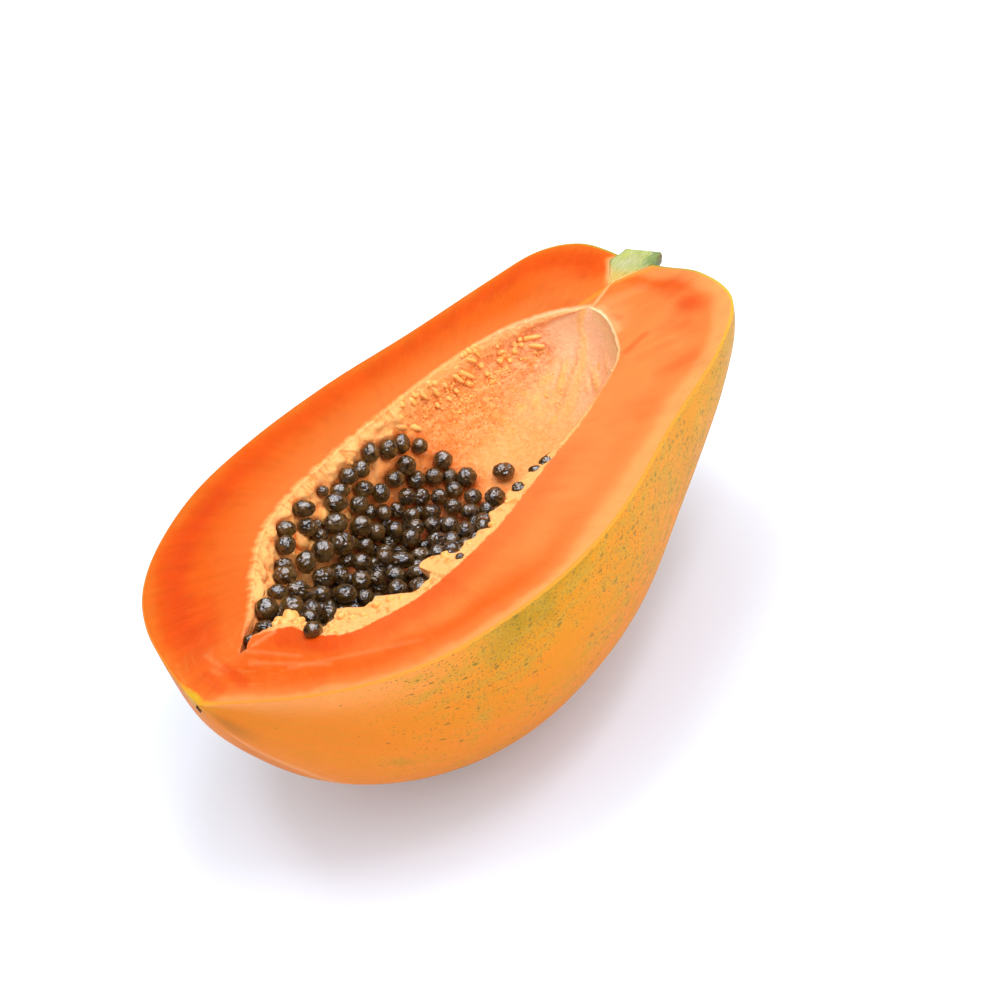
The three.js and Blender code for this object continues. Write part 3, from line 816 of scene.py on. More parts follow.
def tear_edge(wall, s, t):
    """Draws the right edge of the lining over the seeds in flaps."""
    edge = read(RIGHT_EDGE, s)
    x = s * RELIEF_LENGTH
    fray = 0.45 * noise(x / 1.5, 0, 0, 12) + 0.5 * noise(x / 3.4, 0, 0, 11)
    edge = edge + fray * smooth(s, 0.03, 0.1) * fade(s, 0.66, 0.78)
    near_right = smooth(t, np.pi - FLAP_REACH, np.pi) ** 1.5
    wall[..., 1] += edge[:, None] * near_right
    drop = 0.35 + EDGE_DROP * np.clip(edge, 0, 9) * smooth(s, *FLAP_TURNS)
    wall[..., 2] -= np.clip(drop[:, None] * near_right + wall[..., 2], 0, None) * (near_right > 0)
    wall[:, -1, 2] = -drop


def loop(first, last, grid):
    """Once round the rim of a grid: up the left side and back down the right one."""
    return np.concatenate([[first], grid[:, 0], [last], grid[::-1, -1]])


def face_columns(length):
    """How far the columns of the cut face lie from the skin."""
    shares = np.arange(1, FACE_COLUMNS + 1)[:, None] / (FACE_COLUMNS + 1)
    return np.concatenate([
        np.array(SKIN_EDGE)[:, None] + 0 * length,
        SKIN_EDGE[-1] + (length - LINING_EDGE[0] - SKIN_EDGE[-1]) * shares,
        length - np.array(LINING_EDGE)[:, None]])


def lining_width(s, is_right):
    """How wide the lining shows on the cut face, with a ragged edge."""
    width = np.where(is_right, read(RIGHT_BAND, s), read(LEFT_BAND, s))
    x = s * GRAIN_LENGTH
    ragged = 1.1 * noise(x / 4.2, 3, 0, 13) + 0.9 * noise(x / 1.7, 3, 0, 14)
    depth = np.where(is_right, 0.35, 0.9)
    return width + depth * ragged * smooth(s, 0.05, 0.15) * fade(s, 0.62, 0.7)


def face_height(face, rim):
    """The skin's edge is rounded, the face slightly uneven, and the lining slopes down."""
    x = rim.s * GRAIN_LENGTH + rim.is_right * RIGHT_SIDE_AWAY
    z = -EDGE_ROUNDING * fade(rim.from_skin, 0, 0.9)
    z += 0.10 * layered(face[..., 0] / 12, face[..., 1] / 12, 0, 15) * smooth(rim.from_skin, 0.5, 4)
    z += 0.035 * noise(x / 2.0, rim.from_skin / 14, 0, 16) * smooth(rim.from_skin, 1, 4)
    slope = np.clip(-rim.to_lining / np.maximum(rim.band, 0.5), 0, 1)
    z += slope * rim.inner[:, 2] * 0.8
    ridges = noise(x / 1.7, rim.from_skin / 5, 0, 17)
    ridges = ridges + 0.5 * noise(x / 0.9, rim.from_skin / 3, 0, 18)
    z += 0.3 * ridges * slope * rim.is_right
    return z + 0.25 * bump(rim.to_lining, -0.4, 0.7) * rim.is_right * fade(rim.s, 0.7, 0.8)


def cut_face(s, ends, skin, wall):
    """The columns of the cut face from the skin to the cavity, and what is known round its rim."""
    rim = SimpleNamespace(s=np.concatenate([[0], s, [1], s[::-1]]))
    rim.is_right = np.arange(len(rim.s)) > len(s) + 1
    rim.inner = loop(ends[2], ends[3], wall)
    flat_out, flat_in = loop(ends[0], ends[1], skin) * [1, 1, 0], rim.inner * [1, 1, 0]
    rim.length = np.linalg.norm(flat_in - flat_out, axis=1)
    rim.from_skin = face_columns(rim.length)
    face = flat_out + (flat_in - flat_out) * (rim.from_skin / rim.length)[..., None]
    level = loop(ends[2], ends[3], cavity.point(s[:, None], np.array([[0, np.pi]])))
    reach = rim.length - np.linalg.norm(level[:, :2] - flat_out[:, :2], axis=1)
    is_lining = np.where(rim.is_right, smooth(rim.s, *FLAP_TURNS), 1)
    rim.band = lining_width(rim.s, rim.is_right) + reach * is_lining
    rim.to_cavity = rim.length - rim.from_skin
    rim.to_lining = rim.to_cavity - rim.band
    face[..., 2] = face_height(face, rim)
    return face, rim


def grain_across(rim, rows):
    """How far the grain runs across: over the left side, round the wall and over the right side."""
    left_wide = rim.length[1:rows + 1]
    right_start = np.concatenate([[0], left_wide, [0], left_wide[::-1]]) + WALL_GRAIN
    return {
        "wall": left_wide[:, None] + WALL_GRAIN * np.linspace(0, np.pi, WALL_SIDES + 1) / np.pi,
        "face": np.where(rim.is_right, right_start + rim.to_cavity, rim.from_skin),
        "outer": np.where(rim.is_right, right_start + rim.length, 0),
        "inner": np.where(rim.is_right, right_start, rim.length),
    }


def build_half(skin_material, flesh_material, seeds):
    s = crowded(np.linspace(0, 1, STATIONS + 1))[1:-1]
    skin_t, skin = skin_grid(s)
    wall_t, wall, gap, crease = wall_grid(s, seeds)
    ends = [rind.point(0, 0), rind.point(1, 0),
            cavity.point(0, 0) - [0, 0, 0.2], cavity.point(1, 0) - [0, 0, 0.1]]
    face, rim = cut_face(s, ends, skin, wall)
    points = np.concatenate([ends] + [grid.reshape(-1, 3) for grid in (skin, wall, face)])

    # the number of each point: the four ends, then the three grids
    at, count = {}, len(ends)
    for part, grid in (("skin", skin), ("wall", wall), ("face", face)):
        at[part] = count + np.arange(grid.size // 3).reshape(grid.shape[:2])
        count += grid.size // 3
    at["outer"], at["inner"] = loop(0, 1, at["skin"]), loop(2, 3, at["wall"])
    rings = np.vstack([at["outer"], at["face"], at["inner"]])
    faces = [
        quads(at["skin"]), fan(0, at["skin"][0]), fan(1, at["skin"][-1], True),
        quads(at["wall"], True), fan(2, at["wall"][0], True), fan(3, at["wall"][-1]),
        quads(np.hstack([rings, rings[:, :1]]))]
    slots = np.repeat([0, 0, 0, 1, 1, 1, 1], [len(f) for f in faces])

    def spread(default, **parts):
        """A value for each point: the default, then those given for parts of the half."""
        out = np.full(count, default)
        for part, values in parts.items():
            out[at[part]] = values
        return out

    # what the materials read
    wall_deg = np.degrees(wall_t)
    strips = np.maximum(left_band(s[:, None], wall_deg), right_band(s[:, None], wall_deg))
    softness = np.where(rim.is_right, RIGHT_SOFTNESS, LEFT_SOFTNESS)
    rim_mm = spread(99.0, outer=0, face=rim.from_skin)
    edge_mm = spread(-9.0, outer=30, face=rim.to_lining, inner=-rim.band)
    edge_soft = spread(-9.0, outer=30, face=rim.to_lining / softness, inner=-rim.band / softness)
    # painted shade: the creases between the lumps of the strips, where the lining is painted darker
    # orange
    hollow = spread(0.0, wall=crease * strips * smooth(wall_deg, 4, 11))
    strip = spread(0.0, wall=strips, face=smooth(rim.s, 0.04, 0.12) * fade(rim.s, 0.6, 0.68))
    along = spread(0.0, skin=s[:, None], wall=s[:, None], face=rim.s)
    along[[1, 3]] = 1
    angle = spread(0.0, skin=np.degrees(skin_t), wall=wall_deg, face=180 * rim.is_right)
    skin_x = spread(0.0, skin=s[:, None] * SKIN_GRAIN_LENGTH)
    skin_y = spread(0.0, skin=np.degrees(skin_t) * SKIN_GRAIN_DEGREE)
    skin_x[1], skin_y[:2] = SKIN_GRAIN_LENGTH, RIM_GRAIN / 2
    round_x = rim.s * GRAIN_LENGTH
    grain_x = spread(0.0, wall=s[:, None] * GRAIN_LENGTH, face=round_x, outer=round_x, inner=round_x)
    grain_y = spread(0.0, **grain_across(rim, len(s)))

    skin_tint, speckle = skin_colour(points, along, angle)
    line_tint, line_width = edge_line(points, along)
    for part in ("face", "outer"):
        skin_tint[at[part]] = line_tint[at[part]]
    return add_mesh(
        "papaya_flesh", points, faces, [skin_material, flesh_material], slots,
        floats={"rim_line": rim_mm / line_width, "edge_soft": edge_soft, "speckle": speckle,
                "strip": strip, "grit": grit_weight(along, angle) * (edge_mm < 0)},
        vectors={"grain": np.stack([grain_x, grain_y, 0 * grain_x], -1),
                 "skin_grain": np.stack([skin_x, skin_y, 0 * skin_x], -1)},
        colours={"flesh_tint": flesh_colour(points, along, rim_mm, edge_mm, grain_x, grain_y),
                 "lining_tint": lining_colour(points, along, angle, hollow, spread(9.0, wall=gap)),
                 "skin_tint": skin_tint})


# ---------------------------------------------------------------- colours of the half

def palette(**tones):
    """Named colours, from sRGB values of 0 to 255."""
    return SimpleNamespace(**{name: srgb(*tone) for name, tone in tones.items()})


FLESH = palette(
    mid=(227, 90, 4), red=(222, 70, 3), light=(228, 112, 34), pale=(226, 160, 88),
    pink=(232, 121, 50), rim=(230, 112, 26), peach=(234, 132, 64), cream=(240, 186, 124),
    yellow=(236, 150, 40), fibre=(236, 132, 46), dark_fibre=(222, 66, 2), hair=(240, 178, 110),
    crumb=(234, 126, 42),
)
# Among the lining's tones, deep, dark and shade serve as painted shade, the tones of the pits and
# grooves partly, and far is also painted light on the wall by the stem
LINING = palette(
    base=(253, 166, 90), cream=(254, 178, 104), pink=(255, 188, 146), deep=(236, 122, 46),
    dark=(206, 74, 10), yellow=(255, 184, 80), white=(255, 222, 180), blush=(255, 206, 168),
    far=(255, 204, 146), shade=(92, 36, 10), pulp=(255, 178, 84), pit=(214, 96, 22),
    thread=(240, 124, 42),
)
# Among the skin's tones, pink lies as a painted reflection on the underside, hollow and low as
# painted shade by the tip, rib as a painted highlight there, and the tone by the cut is partly
# painted light
SKIN = palette(
    orange=(229, 122, 20), ochre=(212, 134, 8), green=(142, 126, 16), yellow=(232, 156, 20),
    pink=(240, 126, 44), peach=(250, 158, 88), olive=(190, 138, 18), hollow=(180, 100, 22),
    rib=(244, 170, 120), low=(198, 96, 18), blotch=(186, 146, 46), fine=(242, 158, 44),
    large_fleck=(106, 96, 38), fleck=(104, 92, 48), small_fleck=(128, 112, 52),
    by_cut=(246, 164, 48),
)
EDGE = palette(
    orange=(242, 148, 46), green=(212, 182, 56), yellow=(220, 172, 36), left=(238, 146, 52),
    olive=(172, 154, 44),
)
# clear is painted light: the lighter olive on each seed's lower side, standing in for light through
# the wet coat
SEED = palette(
    dark=(32, 21, 11), brown=(98, 68, 29), rib=(104, 76, 26), clear=(140, 96, 30), pit=(14, 9, 6),
    sheen=(196, 140, 60),
)
STEM = palette(
    bark=(88, 110, 46), dry=(132, 100, 54), dark_bark=(70, 88, 36), wedge=(204, 168, 66),
    cut=(166, 174, 88), pith=(190, 184, 140), yellow=(184, 190, 84), shaded=(100, 126, 62),
    rim=(104, 116, 48), root=(222, 166, 84), strand=(206, 204, 168), groove=(112, 124, 52),
    spot=(100, 108, 48),
)
SCAR = palette(dark=(38, 24, 12), dry=(112, 74, 36))

DIM, SKIN_DIM = np.full(3, 0.86), np.full(3, 0.96)  # flesh and skin take this share of the tones


def left_flesh(p, s, rim, edge, cloud, depth):
    red = bump(depth, 9.5, 5.5) * (0.95 - 0.5 * smooth(s, 0.35, 0.5) + 0.15 * bump(s, 0.85, 0.08))
    near = fade(edge + 2 * cloud, 1, 17)
    return paint(
        np.broadcast_to(FLESH.mid, p.shape),
        (FLESH.red, np.clip(red, 0, 1)),
        (FLESH.light, 0.55 * bump(s, 0.55, 0.22) * smooth(rim, 8, 20)),
        (FLESH.pink, 0.6 * smooth(s, 0.84, 0.93) * smooth(rim, 9, 20)),
        (FLESH.rim, 0.9 * fade(depth, 0.4, 5.0)),
        (FLESH.pink, near * (0.35 + 0.5 * smooth(s, 0.15, 0.4))))


def right_flesh(p, s, rim, edge, cloud, small, depth):
    red = bump(depth, 9.5, 4.2) * smooth(s, 0.04, 0.12) * (1 - 0.7 * smooth(s, 0.3, 0.5))
    red += 0.7 * bump(depth, 8, 4) * smooth(s, 0.86, 0.93)
    near = fade(edge + 1.5 * small, 2, 13) * fade(s, 0.5, 0.66)
    near_red = 0.85 - 0.5 * smooth(s, 0.2, 0.42) - 0.3 * bump(s, 0.2, 0.06)
    past_third = smooth(s, 0.28, 0.5)
    pale = fade(depth, 1.2 + 2 * past_third, 4 + 4 * past_third)
    strong = 0.6 + 0.25 * smooth(s, 0.2, 0.4) - 0.5 * smooth(s, 0.88, 0.97)
    # The pink ground of this half is painted sheen: the right half of the cut face is painted
    # lighter and pinker than the left
    return paint(
        np.broadcast_to(FLESH.pink, p.shape),
        (FLESH.peach, smooth(s + 0.05 * cloud, 0.3, 0.5)),
        (FLESH.mid, 0.9 * fade(s, 0.1, 0.26) * smooth(rim, 2, 13)),
        (FLESH.mid, np.clip(0.85 * red, 0, 1)),
        (FLESH.red, near * near_red),
        (FLESH.light, 0.5 * fade(edge, 2, 22) * smooth(s, 0.84, 0.93)),
        (FLESH.cream, 0.3 * fade(edge, 1, 12) * smooth(s, 0.86, 0.93)),
        (FLESH.pale, strong * pale),
        (FLESH.pale, 0.22 * fade(depth, 5, 15) * smooth(s, 0.34, 0.5) * fade(s, 0.68, 0.84)))


def flesh_colour(p, s, rim, edge, along, across):
    x, y = p[:, 0], p[:, 1]
    cloud = layered(x / 17, y / 17, 0, 21)
    small = layered(x / 6, y / 6, 0, 22)
    streak = noise(along / 3.2, across / 22, 0, 23) + 0.6 * noise(along / 1.5, across / 12, 0, 24)
    left = smooth(y, -6, 6)
    depth = rim + 2.2 * cloud + 1.2 * small
    c = blend(right_flesh(p, s, rim, edge, cloud, small, depth),
              left_flesh(p, s, rim, edge, cloud, depth), left)
    # towards the stem the flesh is lighter, with red patches in both shoulders
    c = blend(c, FLESH.light, 0.6 * bump(x, 186, 9) * bump(y, -1, 9))
    for pixel, wide, amount in FACE_PATCHES:
        away = np.linalg.norm(p - on_plane(pixel), axis=1)
        c = blend(c, FLESH.red, amount * bump(away + 2 * small, 0, wide))
    # a pale border round the stem's wedge, and a lighter blossom end with curved streaks
    middle, half_width = (np.interp(x, STEM_AT, v) for v in (STEM_MIDDLE, STEM_HALF_WIDTH))
    from_stem = np.abs(y - middle) - half_width
    tip = fade(s, 0.02, 0.13)
    bow = noise((np.hypot(x - 30, y) + 2 * cloud) * 0.9, np.arctan2(y, 30 - x) * 2, 0, 26)
    c = paint(
        c, (FLESH.pale, 0.6 * fade(from_stem, 0.4, 2.4) * smooth(x, 187, 190)),
        (FLESH.light, 0.5 * tip * left),
        (FLESH.mid, 0.75 * fade(s, 0.04, 0.14) * (1 - left) * smooth(rim, 3, 9)),
        (FLESH.pale, 0.2 * tip * smooth(bow, 0.15, 0.6)))
    for from_pixel, to_pixel, half_width, tone, amount in FACE_MARKS:
        away = from_line(p, on_plane(from_pixel), on_plane(to_pixel))[1] + 0.3 * small
        c = blend(c, vars(FLESH)[tone], amount * fade(away, 0.3 * half_width, 1.6 * half_width))
    return np.clip(c * (1 + 0.05 * cloud + 0.05 * small + 0.05 * streak)[:, None], 0, 1)


def edge_line(p, s):
    """The colour and width in mm of the skin's line round the cut face."""
    patch = bump(np.hypot(p[:, 0] - 2.4, 0.5 * (p[:, 1] - 4.5)), 0, 3.2)
    left = smooth(p[:, 1], -1, 4) * fade(s, 0.62, 0.82)
    c = paint(
        np.broadcast_to(EDGE.orange, p.shape), (EDGE.green, smooth(s, 0.66, 0.88)),
        (EDGE.left, left), (EDGE.olive, 0.8 * smooth(s, 0.87, 0.95)), (EDGE.yellow, patch))
    return c, 0.65 + 0.2 * smooth(s, 0.7, 0.9) - 0.2 * left + 1.7 * patch


def ground_coats(x, s, deg, cloud, small):
    """Pale, pinker towards the stem, with orange between the grains, partly the wall's own tone and
    partly painted shade among them.
    """
    grit = grit_weight(s, deg)
    return (
        (LINING.cream, np.clip(0.35 + 0.7 * cloud, 0, 1)),
        (LINING.pink, 0.7 * smooth(x, 140, 168)),
        (LINING.blush, 0.5 * smooth(x, 158, 174)),
        (LINING.deep, np.clip(0.5 * grit + 0.5 * small * grit, 0, 1)),
        (LINING.cream, 0.7 * bump(deg, 5, 6) * smooth(s, 0.5, 0.6)))


def seed_coats(s, deg, hollow, gap):
    """Fluffy strips of cream, and painted shade: orange in the creases and round the seeds, darker
    under the heap's edge, where juice stains it too, and deep brown inside the heap.
    """
    last = heap_end(np.radians(deg))
    under = fade(s, last - 0.12, last - 0.03) * smooth(deg, 34, 52) * fade(deg, 150, 168)
    deep = fade(s, last - 0.24, last - 0.12) * smooth(s, 0.08, 0.16) * smooth(deg, 46, 64)
    return (
        (LINING.cream, 0.8 * np.maximum(left_band(s, deg), right_band(s, deg))),
        (FLESH.red, 0.85 * fade(s, 0.04, 0.12)),
        # painted shade from here on, in the creases, round and under the seeds and inside the heap
        (LINING.deep, 0.85 * hollow),
        (LINING.deep, 0.8 * fade(gap, 1.5, 5) * smooth(deg, 14, 24) * fade(deg, 150, 160)),
        (LINING.dark, 0.75 * fade(gap, 0.2, 2.2) * smooth(s, 0.06, 0.13)),
        (LINING.dark, 0.85 * under * smooth(s, 0.06, 0.13)),
        (LINING.shade, 0.8 * (deep * fade(deg, 150, 168))))


def vein_coats(p, s, deg, cloud, small):
    """Yellow ridges, a light vein between two darker lines, the left one painted shade in its
    groove, and by the stem a wall painted paler, painted light over its shade, with a pale rim.
    """
    start = VEIN_LINE[0][0]
    where = smooth(s, start, start + 0.05) * fade(s, 0.99, 1)
    across = np.radians(deg - np.interp(s, *VEIN_LINE)) * np.interp(s, *WALL_RADIUS)
    middle = fade(np.abs(across) + 0.8 * small, 1, 2.8)
    return (
        (LINING.yellow, 0.55 * smooth(line_height(p, RIDGES) + 0.15 * small, 0.05, 0.7)),
        (LINING.yellow, 0.4 * bump(s, 0.8, 0.1) * bump(deg, 60, 26) * smooth(small, 0, 0.6)),
        (LINING.yellow, np.clip(0.5 + 0.4 * cloud, 0, 0.7) * middle * where),
        (LINING.pink, 0.45 * bump(across, 5.5, 3) * where),
        # painted shade in the groove on the vein's left
        (LINING.deep, 0.4 * bump(across, -3, 0.8) * where * fade(s, 0.9, 0.96)),
        # painted light: the steep wall by the stem is painted paler where it lies in shade
        (LINING.far, 0.8 * smooth(deg, 122, 156) * smooth(s, 0.72, 0.88)),
        (LINING.white, 0.4 * smooth(deg, 172, 178) * smooth(s, 0.86, 0.92)))


def lining_colour(p, s, deg, hollow, gap):
    cloud, small = clouds(p, 11, 31), clouds(p, 3.5, 32)
    c = paint(
        np.broadcast_to(LINING.base, p.shape), *ground_coats(p[:, 0], s, deg, cloud, small),
        *seed_coats(s, deg, hollow, gap), *vein_coats(p, s, deg, cloud, small))
    return np.clip(c * (1 + 0.05 * small)[:, None], 0, 1)


def tip_coats(s, deg):
    """By the tip painted shade in a brown hollow, a painted highlight along a rib that runs back
    from it, and painted shade on the side below.
    """
    rib = np.interp(s, *SKIN_RIB_HIGHLIGHT)
    return (
        (SKIN.hollow, 0.8 * bump(deg, 122, 14) * bump(s, 0.034, 0.024)),
        (SKIN.rib, 0.6 * bump(deg, rib, 2.4) * smooth(s, 0.02, 0.06) * fade(s, 0.16, 0.27)),
        (SKIN.low, 0.7 * bump(deg, rib - 14, 12) * smooth(s, 0.02, 0.08) * fade(s, 0.2, 0.4)))


def skin_colour(p, s, deg):
    """The colour of the skin, and how likely flecks are."""
    x, y, z = p.T
    cloud, small = clouds(p, 26, 41), clouds(p, 8, 42)
    run = layered(x / 30, deg / 14, 0, 43)
    rim = bump(deg, 180, 26) + bump(deg, 0, 26)
    ochre = smooth(s, 0.1, 0.32) * (0.25 + 0.75 * rim) + 0.5 * smooth(s, 0.5, 0.8) + 0.35 * run
    green = run + 0.5 * cloud + 0.55 * bump(s, 0.38, 0.16) * rim + 0.5 * smooth(s, 0.8, 1)
    yellow = small + 0.8 * rim * smooth(s, 0.5, 0.7)
    patch = bump(np.hypot(x - 2.4, 0.5 * (y - 4.5)), 0, 3) * bump(z, 0, 3)
    c = paint(
        np.broadcast_to(SKIN.orange, p.shape),
        (SKIN.ochre, np.clip(ochre, 0, 1)),
        (SKIN.green, 0.75 * smooth(green, 0.45, 1.1)),
        (SKIN.yellow, 0.5 * smooth(yellow, 0.5, 1.2)),
        # painted reflection: the underside is painted lighter and pinker where the floor's light
        # reflects on it
        (SKIN.pink, 0.35 * bump(deg, 90, 40) * smooth(cloud + 0.3, 0, 0.6) * fade(s, 0.6, 0.9)),
        (SKIN.peach, 0.8 * bump(deg, 180, 12 + 3 * cloud) * fade(s, 0.14, 0.34)),
        (SKIN.olive, 0.6 * smooth(s, 0.62, 0.8) * bump(deg, 180, 26)),
        (SKIN.green, 0.6 * smooth(s, 0.93, 1)),
        *tip_coats(s, deg), (EDGE.yellow, patch))
    speckle = smooth(s, 0.1, 0.34) * (0.25 + 0.9 * rim + 0.8 * cloud + 0.7 * small + 0.4 * run)
    speckle = speckle + 0.6 * smooth(s, 0.7, 0.9) * rim
    return np.clip(c * (1 + 0.04 * small)[:, None], 0, 1), np.clip(speckle, 0.02, 1)


def add_flecks(sh, colour, grain, speckle):
    """Flecks of the last green, longer than wide, in three sizes, the largest towards the stem."""
    wobble = sh.noise(sh.stretch(grain, 0.35, 0.35), 1.0, 2, output=1)
    to_stem = sh.ramp(sh.add("SeparateXYZ", 0, i0=grain), 110, 165, 0.25, 0.75)
    for along, around, radius, grow, share, dark, tone in (
        (0.36, 0.62, 0.05, 0.3, to_stem, 0.7, SKIN.large_fleck),
        (0.75, 1.25, 0.08, 0.26, 0.85, 0.65, SKIN.fleck),
        (1.3, 2.1, 0.08, 0.28, 0.9, 0.5, SKIN.small_fleck),
    ):
        where = sh.push(sh.stretch(grain, along, around), wobble, 0.9)
        distance, chance = (
            sh.add("TexVoronoi", output, {"voronoi_dimensions": "2D"}, Vector=where, Scale=1.0)
            for output in (0, 1))
        split = sh.tree.nodes.new("ShaderNodeSeparateColor")
        sh.tree.links.new(chance, split.inputs[0])
        size = sh.maths("MULTIPLY_ADD", split.outputs[1], grow, radius)
        spot = sh.ramp(sh.maths("DIVIDE", distance, size), 0.4, 1.25, 1, 0)
        shown = sh.maths("LESS_THAN", split.outputs[0], sh.times(speckle, share))
        colour = sh.mix(sh.times(sh.times(spot, shown), dark), colour, tone)
    return colour


def skin_shader():
    sh = Shader("papaya_skin")
    grain = sh.vector("skin_grain")
    mottle = sh.noise(sh.stretch(grain, 0.16, 0.24), 1.0, 5, 0.6)
    speckle = sh.attribute("speckle")
    blotch = sh.times(sh.ramp(mottle, 0.4, 0.66), sh.ramp(speckle, 0.1, 0.8, 0.15, 0.7))
    colour = sh.mix(blotch, sh.colour("skin_tint"), SKIN.blotch)
    fine = sh.noise(sh.stretch(grain, 1.1, 1.7), 1.0, 3)
    colour = sh.mix(sh.ramp(fine, 0.35, 0.75, 0, 0.22), colour, SKIN.fine)
    colour = add_flecks(sh, colour, grain, speckle)
    # a bright line along the cut: partly the skin's own yellow edge, partly painted light that lifts
    # the shade below the rounded edge
    around = sh.add("SeparateXYZ", 1, i0=grain)
    near_cut = sh.maths("MAXIMUM", sh.ramp(around, RIM_GRAIN - CUT_LINE, RIM_GRAIN),
                        sh.ramp(around, CUT_LINE, 0))
    colour = sh.mix(sh.times(near_cut, 0.4), colour, SKIN.by_cut)
    colour = sh.mix(1.0, colour, SKIN_DIM, "MULTIPLY")
    pores = sh.noise(sh.stretch(grain, 2.2, 2.2), 1.0, 2)
    normal = sh.bumps(mottle, 0.0005, 0.35, sh.bumps(pores, 0.00006, 0.5))
    return sh.surface(
        Base_Color=colour, Roughness=sh.ramp(mottle, 0.3, 0.7, 0.46, 0.58), Normal=normal,
        Subsurface_Weight=0.12, Subsurface_Radius=(1.0, 0.5, 0.2), Subsurface_Scale=0.001,
        Specular_IOR_Level=0.1)


def lining_layer(sh, millimetres, grit):
    """Colour and height of the pale lining, with grains and little pits, which are painted darker
    orange, partly painted shade in them.
    """
    lining = sh.colour("lining_tint")
    moved = sh.push(millimetres, sh.noise(millimetres, 0.8, 2, output=1), 1.2)
    cells = sh.add("TexVoronoi", 0, Vector=moved, Scale=1.1)
    soft = sh.noise(millimetres, 0.9, 4, 0.6)
    lining = sh.mix(sh.ramp(soft, 0.42, 0.72, 0, 0.35), lining, LINING.far)
    speck = sh.noise(millimetres, 1.5, 2, 0.6)
    pits = sh.times(sh.ramp(speck, 0.54, 0.68, 0, 1), grit)
    # the pits darker orange: partly their own tone, partly painted shade
    lining = sh.mix(sh.times(pits, 0.55), lining, LINING.pit)
    height = sh.minus(sh.times(soft, 1.0), sh.times(cells, sh.ramp(grit, 0, 1, 0.1, 0.5)))
    height = sh.minus(height, sh.times(pits, 0.5))
    return lining, height


def lining_shader():
    sh = Shader("papaya_lining")
    millimetres = sh.millimetres()
    lining, height = lining_layer(sh, millimetres, 0.2)
    rough = sh.noise(millimetres, 1.6, 3, 0.6)
    return sh.surface(
        Base_Color=lining, Roughness=sh.ramp(rough, 0.3, 0.7, 0.28, 0.45),
        Normal=sh.bumps(height, 0.0003, 0.4), Specular_IOR_Level=0.2)


def flesh_shader():
    sh = Shader("papaya_pulp")
    grain = sh.vector("grain")
    millimetres = sh.millimetres()
    rim, edge = sh.attribute("rim_line"), sh.attribute("edge_soft")

    # flesh: fibres that run from the skin to the cavity, and a fine moist grain
    flesh = sh.colour("flesh_tint")
    fibre = sh.noise(sh.stretch(grain, 1.5, 0.11), 1.0, 4, 0.6)
    hairs = sh.noise(sh.stretch(grain, 2.6, 0.16), 1.0, 2)
    flesh = sh.mix(sh.ramp(fibre, 0.5, 0.8, 0, 0.22), flesh, FLESH.fibre)
    flesh = sh.mix(sh.ramp(fibre, 0.46, 0.2, 0, 0.25), flesh, FLESH.dark_fibre)
    flesh = sh.mix(sh.ramp(hairs, 0.72, 0.8, 0, 0.3), flesh, FLESH.hair)
    crumb = sh.noise(millimetres, 1.6, 3, 0.6)
    flesh = sh.mix(sh.ramp(crumb, 0.55, 0.8, 0, 0.2), flesh, FLESH.crumb)
    wander = sh.maths("MULTIPLY_ADD", sh.noise(millimetres, 0.5, 3), 1.2, -0.6)
    skin_line = sh.ramp(sh.plus(rim, sh.times(wander, 0.5)), 0.5, 1.5, 1, 0)
    flesh = sh.mix(skin_line, flesh, sh.colour("skin_tint"))

    lining, lining_height = lining_layer(sh, millimetres, sh.attribute("grit"))
    # grooves across the strips of lining, painted darker orange: painted shade in the grooves
    # between the pleats
    strip_grooves = sh.noise(sh.stretch(grain, 0.42, 0.24), 1.0, 2, 0.5, distortion=0.6)
    streaked = sh.times(sh.ramp(strip_grooves, 0.54, 0.68), sh.attribute("strip"))
    lining = sh.mix(sh.times(streaked, 0.6), lining, LINING.thread)
    lining_height = sh.minus(lining_height, sh.times(streaked, 0.7))
    flesh = sh.mix(1.0, flesh, DIM, "MULTIPLY")
    where = sh.ramp(sh.plus(edge, wander), -1, 1, 0, 1)
    colour = sh.mix(where, lining, flesh)

    flesh_height = sh.plus(sh.times(fibre, 0.5), sh.times(crumb, 0.5))
    height = sh.mix(where, lining_height, sh.times(flesh_height, 0.35))
    normal = sh.bumps(height, 0.0006, 0.6)
    return sh.surface(
        Base_Color=colour, Roughness=sh.ramp(crumb, 0.3, 0.7, 0.3, 0.5), Normal=normal,
        Subsurface_Weight=0.15, Subsurface_Radius=(1.0, 0.5, 0.3), Subsurface_Scale=0.0008,
        Specular_IOR_Level=0.07)


# ---------------------------------------------------------------- seeds

def heap_edges(s):
    """Where the heap begins below the left rim and ends below the right one."""
    radius = cavity.radius(s, np.pi / 2)
    low = np.arcsin(np.minimum(0.9, HEAP_BELOW_LEFT / radius))
    high = np.pi - np.arcsin(np.minimum(0.9, HEAP_BELOW_RIGHT / radius))
    return low, high


def heap_depth(s, t):
    """How deep the heap's surface lies over the wall, in mm."""
    low, high = heap_edges(s)
    radius = cavity.radius(s, t)
    inwards = smooth(t, low - 0.1, low + 0.7) * fade(t, high - 0.7, high + 0.1)
    from_end = fade(s, heap_end(t) - 0.2, heap_end(t))
    full = 0.92 * radius
    deepest = np.maximum(full * fade(s, 0.12, 0.34), HEAP_THICK)
    return np.minimum(HEAP_THIN + (deepest - HEAP_THIN) * inwards * from_end, full)


def heap_point(s, t, sunk=0.0):
    scale = 1 - (heap_depth(s, t) - sunk) / cavity.radius(s, t)
    return cavity.point(s, t, np.minimum(scale, 0.96))


